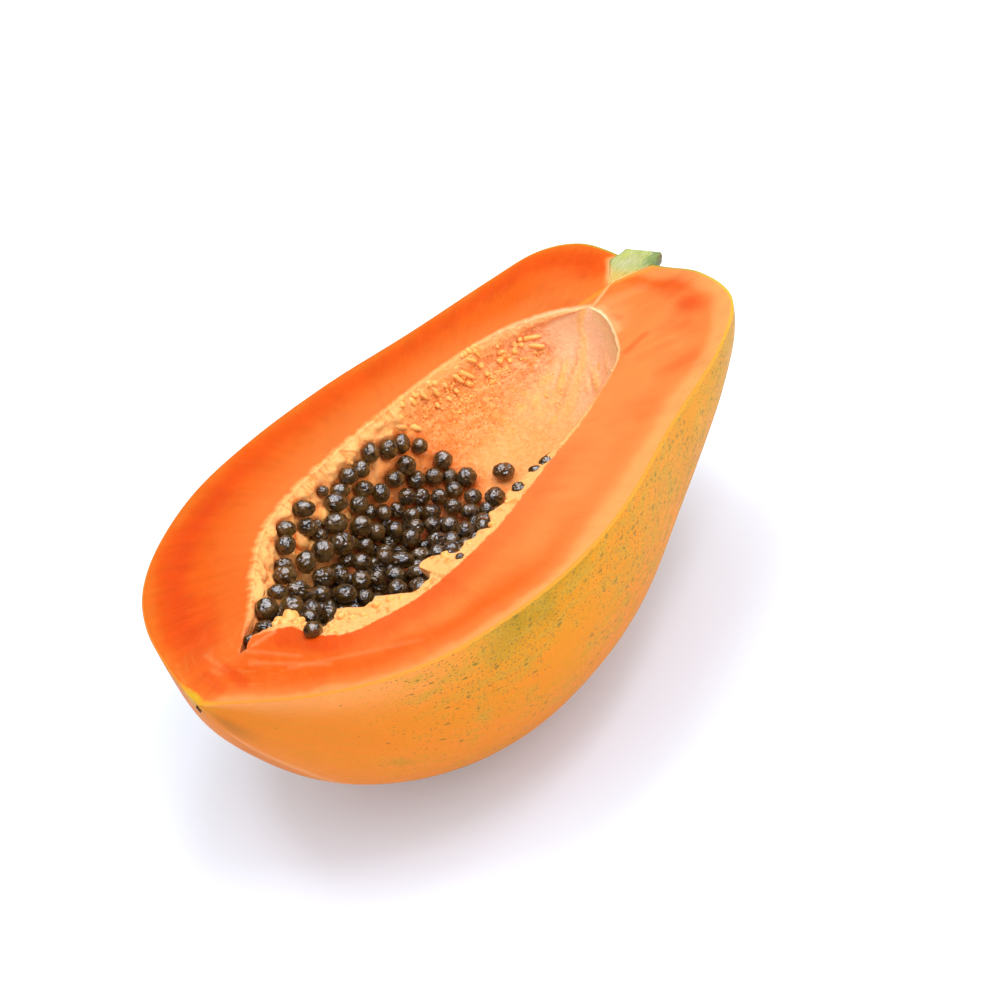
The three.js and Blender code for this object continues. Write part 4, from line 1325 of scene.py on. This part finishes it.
def heap_centres(random, pitch, sunk, jitter):
    """Rings of seeds on the heap, each ring turned at random."""
    centres = []
    for x in np.arange(HEAP_START, HEAP_END, pitch):
        s = (x - CAVITY_START) / CAVITY_LENGTH
        low, high = heap_edges(s)
        t = np.linspace(low, high, 60)
        ring = heap_point(s, t, sunk)
        length = np.r_[0, np.cumsum(np.linalg.norm(np.diff(ring, axis=0), axis=1))]
        count = max(1, round(length[-1] / pitch))
        at = (np.arange(count) + random.random()) / count * length[-1]
        for distance in at:
            turn = np.interp(distance, length, t)
            if s > heap_end(turn):
                continue
            centre = np.array([np.interp(distance, length, ring[:, k]) for k in range(3)])
            centres.append(centre + jitter * (random.random(3) - 0.5))
    return np.array(centres)


class Pile:
    """Seeds as centres and frames, whose columns are their half axes."""

    def __init__(self):
        self.centres, self.radii, self.frames = np.empty((0, 3)), np.empty(0), []

    def clearance(self, points, radius):
        """The least distance to the seeds already there, as a share of touching."""
        if not len(self.radii):
            return np.full(len(points), 9.0)
        gaps = np.linalg.norm(points[:, None] - self.centres[None], axis=-1)
        return (gaps / (self.radii[None] + radius)).min(1)

    def part(self, first, last):
        """A pile of some of the seeds."""
        part = Pile()
        part.centres, part.radii = self.centres[first:last], self.radii[first:last]
        part.frames = self.frames[first:last]
        return part

    def add(self, centre, radius, frame):
        self.centres = np.vstack([self.centres, centre])
        self.radii = np.append(self.radii, radius)
        self.frames.append(frame)


def see_seed(pile, seed, sink=0.0):
    """Adds a seed along its line of sight, on the heap and clear of those in front of it."""
    x, y, wide, tall = seed
    mm = np.linalg.norm(wall_at((x, y)) - EYE) / FOCAL_PIXELS
    wide, tall = wide * mm, tall * mm
    radius = math.sqrt(wide * tall)
    hollow = wall_at(HOLLOW_AT, 8)

    def surface(s, t):
        place = heap_point(s, t)
        dip = HOLLOW_DEPTH * bump(np.linalg.norm(place - hollow, axis=-1), 0, HOLLOW_WIDTH)
        return radius + 0.1 + np.maximum(0, heap_depth(s, t) - HEAP_THIN - dip - sink)

    points, off, met = look((x, y), surface, top=-0.8 * radius)
    start = np.argmax(met)
    end = start + max(1, np.argmax(off[start:] < 0.8 * radius))
    line = points[start:end]
    free = pile.clearance(line, radius)
    clear = free > CROWDED
    chosen = np.argmax(clear) if clear.any() else np.argmax(free)
    depth = 0.5 * (wide + tall)
    pile.add(line[chosen], radius, CAMERA_AXES * [wide, tall, depth])


def ease_apart(pile, rounds=12, furthest=1.1):
    """Seeds that still cut into each other move apart a little."""
    first = pile.centres.copy()
    for _ in range(rounds):
        gap = pile.centres[None] - pile.centres[:, None]
        distance = np.linalg.norm(gap, axis=-1) + np.eye(len(first)) * 99
        short = np.clip(0.93 * (pile.radii[:, None] + pile.radii[None]) - distance, 0, None)
        pile.centres = pile.centres - (gap / distance[..., None] * (0.3 * short)[..., None]).sum(1)
        moved = pile.centres - first
        far = np.linalg.norm(moved, axis=1, keepdims=True)
        pile.centres = first + moved * np.minimum(1, furthest / np.maximum(far, 1e-9))


def tuck(centre, radius):
    """A seed under the torn edge of the lining lies clear below it."""
    s, _, _ = cavity.locate(centre)
    edge = cavity.point(s, np.pi)[1] + read(RIGHT_EDGE, s)
    if centre[1] - radius < edge:
        centre = np.minimum(centre, [np.inf, np.inf, -radius - 2.2])
    return centre


def is_hidden(centre):
    """Whether the right rim stands before a place, seen from the camera."""
    k = centre[2] / (centre[2] - EYE[2])
    crossing = centre + k * (EYE - centre)
    s, _, _ = cavity.locate(crossing)
    return crossing[1] < cavity.point(s, np.pi)[1] + 1


CROWDED, PACKED = 0.86, 0.7  # least distance between seeds, as a share of touching
UNDER_FROM = math.radians(38)  # no seeds lie under the top ones nearer the left rim
# Hidden seeds, in mm: the side ones, and the lower layers with how far down and how close they lie
SIDE_RINGS = {"pitch": 5.2, "sunk": 0.6, "jitter": 3.0}
LOWER_LAYERS = ((5.2, PACKED), (7.6, 0.6), (2.4, PACKED))
LOWER_PITCH, LOWER_JITTER = 4.9, 1.5


def turned(frames, p):
    """Each set of points in its own frame."""
    return np.einsum("nij,nkj->nki", frames, p)


def seed_points(ball, pile, random, wrinkle):
    """Knobbly seeds in place, and their points turned at random for the material."""
    count = len(pile.radii)
    p = np.repeat(ball[None], count, 0)
    which = np.arange(count)[:, None] * 17.3
    rough = wrinkle * (0.4 + 1.2 * random.random(count) ** 2)[:, None]
    swell = 1 + 0.06 * knobs(p, 1.1, which, 51)
    ridge, fold = np.abs(knobs(p, 1.9, which, 52)), np.abs(knobs(p, 3.8, which, 53))
    swell = swell - rough * (0.42 * np.clip(0.32 - ridge, 0, 1) + 0.22 * np.clip(0.3 - fold, 0, 1))
    swell = swell + rough * 0.014 * knobs(p, 6, which, 54)
    spin = turns(random, count)
    frames = np.array(pile.frames)
    placed = turned(frames, p * swell[..., None]) + pile.centres[:, None]
    return placed, turned(spin, p)


def add_seeds(name, pile, levels, random, wrinkle):
    """One piece of seeds, with what their material reads."""
    ball, ball_faces = sphere(levels)
    placed, spun = seed_points(ball, pile, random, wrinkle)
    count = len(pile.radii)
    p, f = many(placed, ball_faces)
    longitude = np.arctan2(spun[..., 1], spun[..., 0])
    which = np.arange(count)[:, None] * 5.1
    stripe = noise(longitude * 2.6 + which, spun[..., 2] * 0.8, which, 55)
    # painted light: each seed's lower side is painted a lighter olive, standing in for light through
    # its wet coat
    facing_down = np.einsum("k,nik->ni", [0, 0, -1], placed - pile.centres[:, None])
    facing_down /= pile.radii[:, None]
    olive = 0.35 + 0.65 * random.random(count)[:, None] ** 1.2
    clear = olive * smooth(facing_down, -0.3, 0.8)
    piece = add_mesh(name, p, [f], [wet], floats={
        "stripe": stripe.ravel(), "clear": clear.ravel(),
        "olive": np.repeat(olive, len(ball), 1).ravel()},
        vectors={"grain": spun.reshape(-1, 3) * 3 + np.repeat(which, len(ball), 1).reshape(-1, 1)})
    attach(piece, "root")
    return piece


def seed_shader():
    sh = Shader("wet_seed")
    place = sh.vector("grain")
    olive, clear = sh.attribute("olive"), sh.attribute("clear")
    patch = sh.noise(place, 0.35, 3, 0.6)
    fine = sh.noise(place, 1.5, 3)
    colour = sh.mix(sh.ramp(patch, 0.35, 0.65, 0, 0.9), SEED.dark, SEED.brown)
    ribs = sh.times(sh.ramp(sh.attribute("stripe"), -0.1, 0.5), olive)
    colour = sh.mix(sh.times(ribs, 0.5), colour, SEED.rib)
    # the lighter olive of the lower sides is painted light
    colour = sh.mix(sh.times(clear, 0.9), colour, SEED.clear)
    colour = sh.mix(sh.ramp(fine, 0.54, 0.75, 0, 0.5), colour, SEED.pit)
    wrinkles = sh.noise(place, 0.75, 2, 0.45)
    normal = sh.bumps(wrinkles, 0.0005, sh.ramp(clear, 0.1, 0.7, 0.9, 0.35))
    return sh.surface(
        Base_Color=colour, Roughness=sh.ramp(fine, 0.35, 0.7, 0.14, 0.26), Normal=normal,
        Coat_Weight=0.5, Coat_Roughness=0.05, Coat_IOR=1.6, Coat_Normal=normal, Sheen_Weight=0.1,
        Sheen_Roughness=0.4, Sheen_Tint=(*SEED.sheen, 1), Specular_IOR_Level=0.6)


# ---------------------------------------------------------------- bits of the lining

def add_lining(name, points, faces):
    pale = np.clip(0.4 + 0.5 * clouds(points, 2.2, 61), 0, 1)
    tint = np.clip(blend(np.broadcast_to(LINING.pulp, points.shape), LINING.cream, pale), 0, 1)
    piece = add_mesh(name, points, faces, [lining_material], colours={"lining_tint": tint})
    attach(piece, "root")
    return piece


def peg_line(root_pixel, tip_pixel, radius, u):
    """A bent line out of the wall, and the way ahead along it."""
    root, tip = wall_at(root_pixel, -0.7 * radius), wall_at(tip_pixel, 1.3 * radius)
    out = (wall_at(tip_pixel, 3) - wall_at(tip_pixel)) / 3
    middle = 0.5 * (root + tip) + out * 0.8 * radius
    weights = ((1 - u) ** 2, 2 * u * (1 - u), u ** 2)
    line = sum(w[:, None] * point for w, point in zip(weights, (root, middle, tip)))
    return line, unit(np.gradient(line, axis=0))


def build_pegs(random, rings=9, sides=12):
    """Soft fingers that stand out of the wall and bend along it."""
    u = np.linspace(0, 1, rings)
    turn = np.linspace(0, 2 * np.pi, sides, endpoint=False)
    ca, sa = np.cos(turn), np.sin(turn)
    blunt = np.sqrt(np.clip(1 - ((u - 0.62) / 0.4).clip(0) ** 2, 0.02, 1))
    shapes = []
    for root_pixel, tip_pixel, radius in PEGS:
        line, ahead = peg_line(root_pixel, tip_pixel, radius, u)
        side = unit(np.cross(ahead, [0.3, 0.2, 1]))
        other = np.cross(ahead, side)
        width = radius * (1.6 - 0.55 * u) * blunt
        knobbly = 1 + 0.26 * noise(u[:, None] * 4, ca * 1.3, sa * 1.3 + random.random() * 50, 62)
        ring = line[:, None] + width[:, None, None] * knobbly[..., None] * (
            ca[None, :, None] * side[:, None] + sa[None, :, None] * other[:, None])
        last = line[-1:] + 0.1 * radius * ahead[-1:]
        shapes.append(np.concatenate([ring.reshape(-1, 3), line[:1], last]))
    _, walls, caps = tube(rings, sides)
    points, wall_faces = many(np.array(shapes), walls)
    _, cap_faces = many(np.array(shapes), caps)
    add_lining("lining_pegs", points, [wall_faces, cap_faces])


def scattered(bands, random):
    """Places half sunk in the wall, and sizes, at random in bands."""
    centres, sizes = [], []
    for from_pixel, to_pixel, half_width, count, size in bands:
        a, b = np.array(from_pixel, float), np.array(to_pixel, float)
        across = np.array([-(b - a)[1], (b - a)[0]]) / np.linalg.norm(b - a)
        for _ in range(count):
            pixel = a + (b - a) * random.random()
            pixel = pixel + across * half_width * np.clip(random.normal() / 2, -1, 1)
            centres.append(wall_at(pixel, -0.35 * size))
            sizes.append(size * (0.6 + 0.7 * random.random()))
    return np.array(centres), np.array(sizes)


def build_grains(random):
    """Small lumps half sunk in the wall, in bands, and larger bits of pulp among the seeds."""
    ball, faces = sphere(2)
    centres, sizes = scattered(GRAINS, random)
    points, f = many(lumps(ball, centres, sizes, random, 0.3), faces)
    add_lining("lining_grains", points, [f])

    ball, faces = sphere(3)
    centres, sizes = scattered(MOUNDS, random)
    centres = np.array([wall_at((x, y), 0.7 * size) for x, y, size in PULP_BITS]
                       + [on_plane((x, y), -0.75 * size) for x, y, size in FLAP_BITS]
                       + list(centres))
    sizes = np.r_[[size for _, _, size in PULP_BITS + FLAP_BITS], sizes]
    points, f = many(lumps(ball, centres, sizes, random, 0.22), faces)
    add_lining("lining_bits", points, [f])


def lumps(ball, centres, sizes, random, rough):
    """Rough balls at places, stretched and turned at random."""
    count = len(centres)
    p = np.repeat(ball[None], count, 0)
    which = np.arange(count)[:, None] * 9.7
    swell = 1 + rough * knobs(p, 1.2, which, 63)
    swell = swell + 0.4 * rough * knobs(p, 3.1, which, 64)
    stretch = 0.75 + 0.6 * random.random((count, 3))
    p = p * swell[..., None] * stretch[:, None] * sizes[:, None, None]
    return turned(turns(random, count), p) + centres[:, None]


# ---------------------------------------------------------------- stem

STEM_AT = [189.5, 195.5, 201.2, 203.4, 207.2]  # stations along the fruit, in mm
STEM_MIDDLE = [-1.0, -1.6, -1.4, -2.0, -2.2]
STEM_HALF_WIDTH = [0.5, 4.4, 8.3, 7.2, 6.6]
STEM_DEPTH = [0.4, 3.8, 6.8, 6.5, 6.4]
STEM_RISE = 0.14  # its cut face stands this far above the flesh


def stem_points(x, middle, half, depth, under, columns):
    """A wedge in the flesh that grows into the stub: bark below and a cut face on top."""
    t = np.linspace(np.pi, 0, under)  # from the right side by the back to the left
    bark_x = np.repeat(x[:, None], under, 1)
    grooves = 1 + 0.02 * noise(t * 4.5, bark_x / 9, 0, 71) + 0.012 * noise(t * 13, bark_x / 4, 0, 72)
    bark_y = middle[:, None] + half[:, None] * np.cos(t)
    bark_y = middle[:, None] + (bark_y - middle[:, None]) * grooves
    bark_z = -depth[:, None] * np.sin(t) * grooves
    q = np.linspace(1, -1, columns + 2)[1:-1]
    top_x = np.repeat(x[:, None], columns, 1)
    top_y = middle[:, None] + half[:, None] * q
    fibre = noise(top_x / 6, top_y / 0.45, 0, 73) + 0.5 * noise(top_x / 3, top_y / 0.22, 0, 74)
    inside = smooth((1 - np.abs(q)) * half[:, None], 0, 0.7)
    top_z = inside * (STEM_RISE + 0.07 * fibre * smooth(top_x, 192, 199))
    ring = np.stack([
        np.hstack(pair) for pair in ((bark_x, top_x), (bark_y, top_y), (bark_z, top_z))], -1)
    ring[-1, :, 0] += 0.35 * noise(ring[-1, :, 1] / 2.5, ring[-1, :, 2] / 2.5, 0, 75) - 0.2
    first = np.array([x[0] - 0.3, middle[0], 0.02])
    last = ring[-1].mean(0) * [1, 1, 0] + [0.1, 0, -2.6]
    return np.concatenate([ring.reshape(-1, 3), [first, last]])


def stem_colour(points, edge, cut_face):
    """Green bark, browner at its end, and a light fibrous cut that yellows to the wedge."""
    x, y, z = points.T
    bark = paint(
        np.broadcast_to(STEM.bark, points.shape),
        (STEM.dry, smooth(x, 203, 207) * (0.35 + 0.65 * smooth(y, 0, -8))),
        (STEM.dark_bark, 0.5 * smooth(noise(x / 3, y / 2, z / 2, 76), 0, 0.6)))
    face = paint(
        np.broadcast_to(STEM.wedge, points.shape),
        (STEM.cut, smooth(x, 193, 199)),
        (STEM.pith, 0.7 * bump(x, 200.5, 4) * bump(y, 0, 4.4)),
        (STEM.yellow, 0.6 * bump(y, 2.4, 1.4) * smooth(x, 199, 203)),
        (STEM.shaded, 0.8 * smooth(y, -4.6, -6.8) * smooth(x, 197, 202)),
        (STEM.rim, 0.8 * fade(edge, 0.1, 0.9) * smooth(x, 196, 200)),
        (STEM.root, 0.8 * fade(edge, 0.3, 1.6) * fade(x, 196, 201)))
    return np.clip(blend(bark, face, cut_face), 0, 1)


def build_stem(rings=70, under=44, columns=40):
    x = np.linspace(STEM_AT[0], STEM_AT[-1], rings)
    middle, half, depth = (
        np.convolve(np.pad(np.interp(x, STEM_AT, v), 6, "edge"), np.ones(13) / 13, "valid")
        for v in (STEM_MIDDLE, STEM_HALF_WIDTH, STEM_DEPTH))
    half = half - 0.25 * smooth(x, 206.6, 207.2)
    points = stem_points(x, middle, half, depth, under, columns)
    at, walls, caps = tube(rings, under + columns)
    cut_face = np.zeros(len(points))
    cut_face[at[:, under:-1].ravel()] = 1
    cut_face[-2] = 1
    px, py = points[:, 0], points[:, 1]
    edge = np.interp(px, x, half) - np.abs(py - np.interp(px, x, middle))
    piece = add_mesh("stem_stub", points, [walls, caps], [stem_shader()],
                     colours={"stem_tint": stem_colour(points, edge, cut_face)},
                     floats={"cut": cut_face})
    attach(piece, "root")
    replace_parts(piece, "stem")


def stem_shader():
    sh = Shader("papaya_stem")
    place = sh.millimetres()
    along = sh.stretch(place, 0.35, 2.6, 1.0)
    cut = sh.attribute("cut")
    colour = sh.colour("stem_tint")
    strands = sh.noise(along, 1.0, 4, 0.65)
    strong = sh.ramp(cut, 0, 1, 0.35, 0.75)
    colour = sh.mix(sh.times(sh.ramp(strands, 0.5, 0.72), strong), colour, STEM.strand)
    colour = sh.mix(sh.times(sh.ramp(strands, 0.46, 0.28), strong), colour, STEM.groove)
    spots = sh.noise(place, 1.4, 3, 0.6)
    colour = sh.mix(sh.ramp(spots, 0.58, 0.78, 0, 0.35), colour, STEM.spot)
    normal = sh.bumps(strands, 0.0005, 0.6)
    return sh.surface(
        Base_Color=colour, Roughness=sh.ramp(spots, 0.3, 0.7, 0.45, 0.65), Normal=normal,
        Subsurface_Weight=0.15, Subsurface_Radius=(0.8, 0.9, 0.3), Subsurface_Scale=0.001,
        Specular_IOR_Level=0.3)


SCAR_SIZE = np.array([0.9, 0.4, 0.6])  # half length, width and height in mm


def build_scar(random):
    """The dry remains of the flower at the tip."""
    ball, faces = sphere(3)
    at = rind.point(0.012, math.radians(44))
    slit = CAMERA_AXES @ np.array([[0.58, 0.81, 0], [-0.81, 0.58, 0], [0, 0, 1]]) * SCAR_SIZE
    p = (lumps(ball, 0 * at[None], np.array([1.0]), random, 0.5)[0] @ slit.T + at)[None]
    sh = Shader("dry_scar")
    place = sh.millimetres()
    crust = sh.noise(place, 2.2, 4, 0.7)
    colour = sh.mix(sh.ramp(crust, 0.4, 0.65), SCAR.dark, SCAR.dry)
    material = sh.surface(Base_Color=colour, Roughness=sh.ramp(crust, 0.3, 0.7, 0.6, 0.9),
                          Normal=sh.bumps(crust, 0.0006, 0.8))
    piece = add_mesh("blossom_scar", p[0], [faces], [material])
    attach(piece, "root")


# ---------------------------------------------------------------- assembly

VEIN_LINE = wall_line(VEIN)


def seen_seeds():
    """The seeds that the photograph shows, each along its own line of sight."""
    pile = Pile()
    for seeds, sink in ((SEEDS_FRONT, 0), (SEEDS_BEHIND, BEHIND), (SEEDS_DEEP, DEEPER)):
        for seed in sorted(seeds, key=lambda seed: -seed[1]):
            see_seed(pile, seed, sink)
    ease_apart(pile)
    for x, y, wide, tall, height in SEEDS_AT_RIM:
        place = on_plane((x, y), height)
        mm = np.linalg.norm(place - EYE) / FOCAL_PIXELS
        shape = CAMERA_AXES * [mm * wide, mm * tall, mm * 0.5 * (wide + tall)]
        pile.add(place, mm * math.sqrt(wide * tall), shape)
    return pile


def add_side_seeds(pile, random):
    """Seeds that the right rim hides from the camera."""
    for centre in heap_centres(random, **SIDE_RINGS):
        radius = 2.5 + 0.7 * random.random()
        centre = tuck(centre, radius)
        if is_hidden(centre) and pile.clearance(centre[None], radius)[0] > CROWDED:
            shape = radius * np.array([0.95, 1, 1.05 + 0.15 * random.random()])
            pile.add(centre, radius, turns(random, 1)[0] * shape)


def add_lower_seeds(pile, random):
    """Layers of seeds under the top ones."""
    for sunk, close in LOWER_LAYERS:
        for centre in heap_centres(random, LOWER_PITCH, sunk, LOWER_JITTER):
            radius = 2.3 + 0.5 * random.random()
            centre = tuck(centre, radius)
            _, t, off = cavity.locate(centre[None])
            free = pile.clearance(centre[None], radius)[0]
            if off[0] > 0.7 * radius and free > close and t[0] > UNDER_FROM:
                pile.add(centre, radius, turns(random, 1)[0] * radius)


wet = seed_shader()
lining_material = lining_shader()
random = np.random.default_rng(5)
pile = seen_seeds()
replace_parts(add_seeds("seeds_top", pile, 4, random, 1.0), "seeds")

half = build_half(skin_shader(), flesh_shader(), pile)
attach(half, "root")
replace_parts(half, "papaya_half")

seen_count = len(pile.radii)
add_side_seeds(pile, random)
side_count = len(pile.radii)
add_lower_seeds(pile, random)
add_seeds("seeds_side", pile.part(seen_count, side_count), 3, random, 0.8)
add_seeds("seeds_below", pile.part(side_count, len(pile.radii)), 2, random, 0.8)

for node, s, degrees, wide, tall in SEEDS_ALONE:
    t = math.radians(degrees)
    centre = cavity.point(s, t) + cavity.inward(s, t) * (tall * 0.9)
    alone = Pile()
    alone.add(centre, math.sqrt(wide * tall), CAMERA_AXES * [wide, tall, 0.5 * (wide + tall)])
    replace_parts(add_seeds(node.replace("seed_", "seed_fine_"), alone, 4, random, 0.8), node)

build_pegs(random)
build_grains(random)
build_stem()
build_scar(random)

# ---------------------------------------------------------------- stage

FLOOR_REACH = 6
FLOOR_TONE = np.array([0.565, 0.63, 0.75])
FLOOR_GLOW = (0.045, 0.17, 0.15, 0.5)  # two distances from the middle, and the strength at each
WORLD_STRENGTH, EXPOSURE = 0.58, 0.22
KEY_PLACES = ((-0.18, 0.12, 1.12), (0.3, 0.06, 1.1), (-0.04, -0.5, 1.05), (0.4, -0.44, 1.05))
WHITE, COOL, BLUISH = (1, 1, 1), (0.96, 0.98, 1), (0.84, 0.88, 1)
# Lights: place, aim, width and height in metres, watts and colour
KEY = ((0, 0, 0.05), (0.27, 0.22), 1.85, COOL)
FILL = ((0.1, -0.98, 0.72), (0, 0, 0.03), (1.5, 1.1), 7, WHITE)
GLOSS = ((0.1, -0.22, 1.1), (0, 0, 0.05), (2.1, 1.7), 36, BLUISH)

scene = bpy.context.scene


def add_object(name, data):
    obj = bpy.data.objects.new(name, data)
    scene.collection.objects.link(obj)
    return obj


def add_floor():
    """A plain pale floor that glows a little more away from the fruit."""
    mesh = bpy.data.meshes.new("floor")
    r = FLOOR_REACH
    mesh.from_pydata([(-r, -r, 0), (r, -r, 0), (r, r, 0), (-r, r, 0)], [], [(0, 1, 2, 3)])
    sh = Shader("pale_floor")
    away = sh.add("VectorMath", 1, {"operation": "LENGTH"}, i0=sh.add("TexCoord", OBJECT_OUTPUT))
    mesh.materials.append(sh.surface(
        Base_Color=FLOOR_TONE, Roughness=0.7, Specular_IOR_Level=0.1,
        Emission_Color=np.ones(3), Emission_Strength=sh.ramp(away, *FLOOR_GLOW)))
    floor = add_object("floor", mesh)


def add_world():
    """Soft white light from all round, which glossy surfaces don't mirror."""
    world = bpy.data.worlds.new("studio")
    scene.world = world
    world.use_nodes = True
    background = world.node_tree.nodes["Background"]
    background.inputs["Color"].default_value = (*WHITE, 1)
    background.inputs["Strength"].default_value = WORLD_STRENGTH
    world.cycles_visibility.glossy = False


def add_light(name, place, aim, size, power, colour):
    light = bpy.data.lights.new(name, "AREA")
    light.shape = "RECTANGLE"
    light.size, light.size_y = size
    light.energy = power
    light.color = colour
    obj = add_object(name, light)
    obj.location = place
    obj.rotation_euler = (Vector(aim) - Vector(place)).to_track_quat("-Z", "Y").to_euler()
    return obj


def add_lights():
    """Small soft boxes, so that wet seeds show several glints, a fill, and a wide box for gloss."""
    for k, place in enumerate(KEY_PLACES):
        add_light(f"key_{k}", place, *KEY)
    fill = add_light("fill", *FILL)
    fill.visible_glossy = False
    gloss = add_light("gloss", *GLOSS)
    gloss.visible_diffuse = False


def add_camera():
    camera = bpy.data.cameras.new("camera")
    camera.sensor_width, camera.lens = CAMERA_SENSOR, CAMERA_LENS
    scene.camera = add_object("camera", camera)
    scene.camera.matrix_world = CAMERA_MATRIX


scene.view_settings.view_transform = "Standard"
scene.view_settings.exposure = EXPOSURE
add_floor()
add_world()
add_lights()
add_camera()
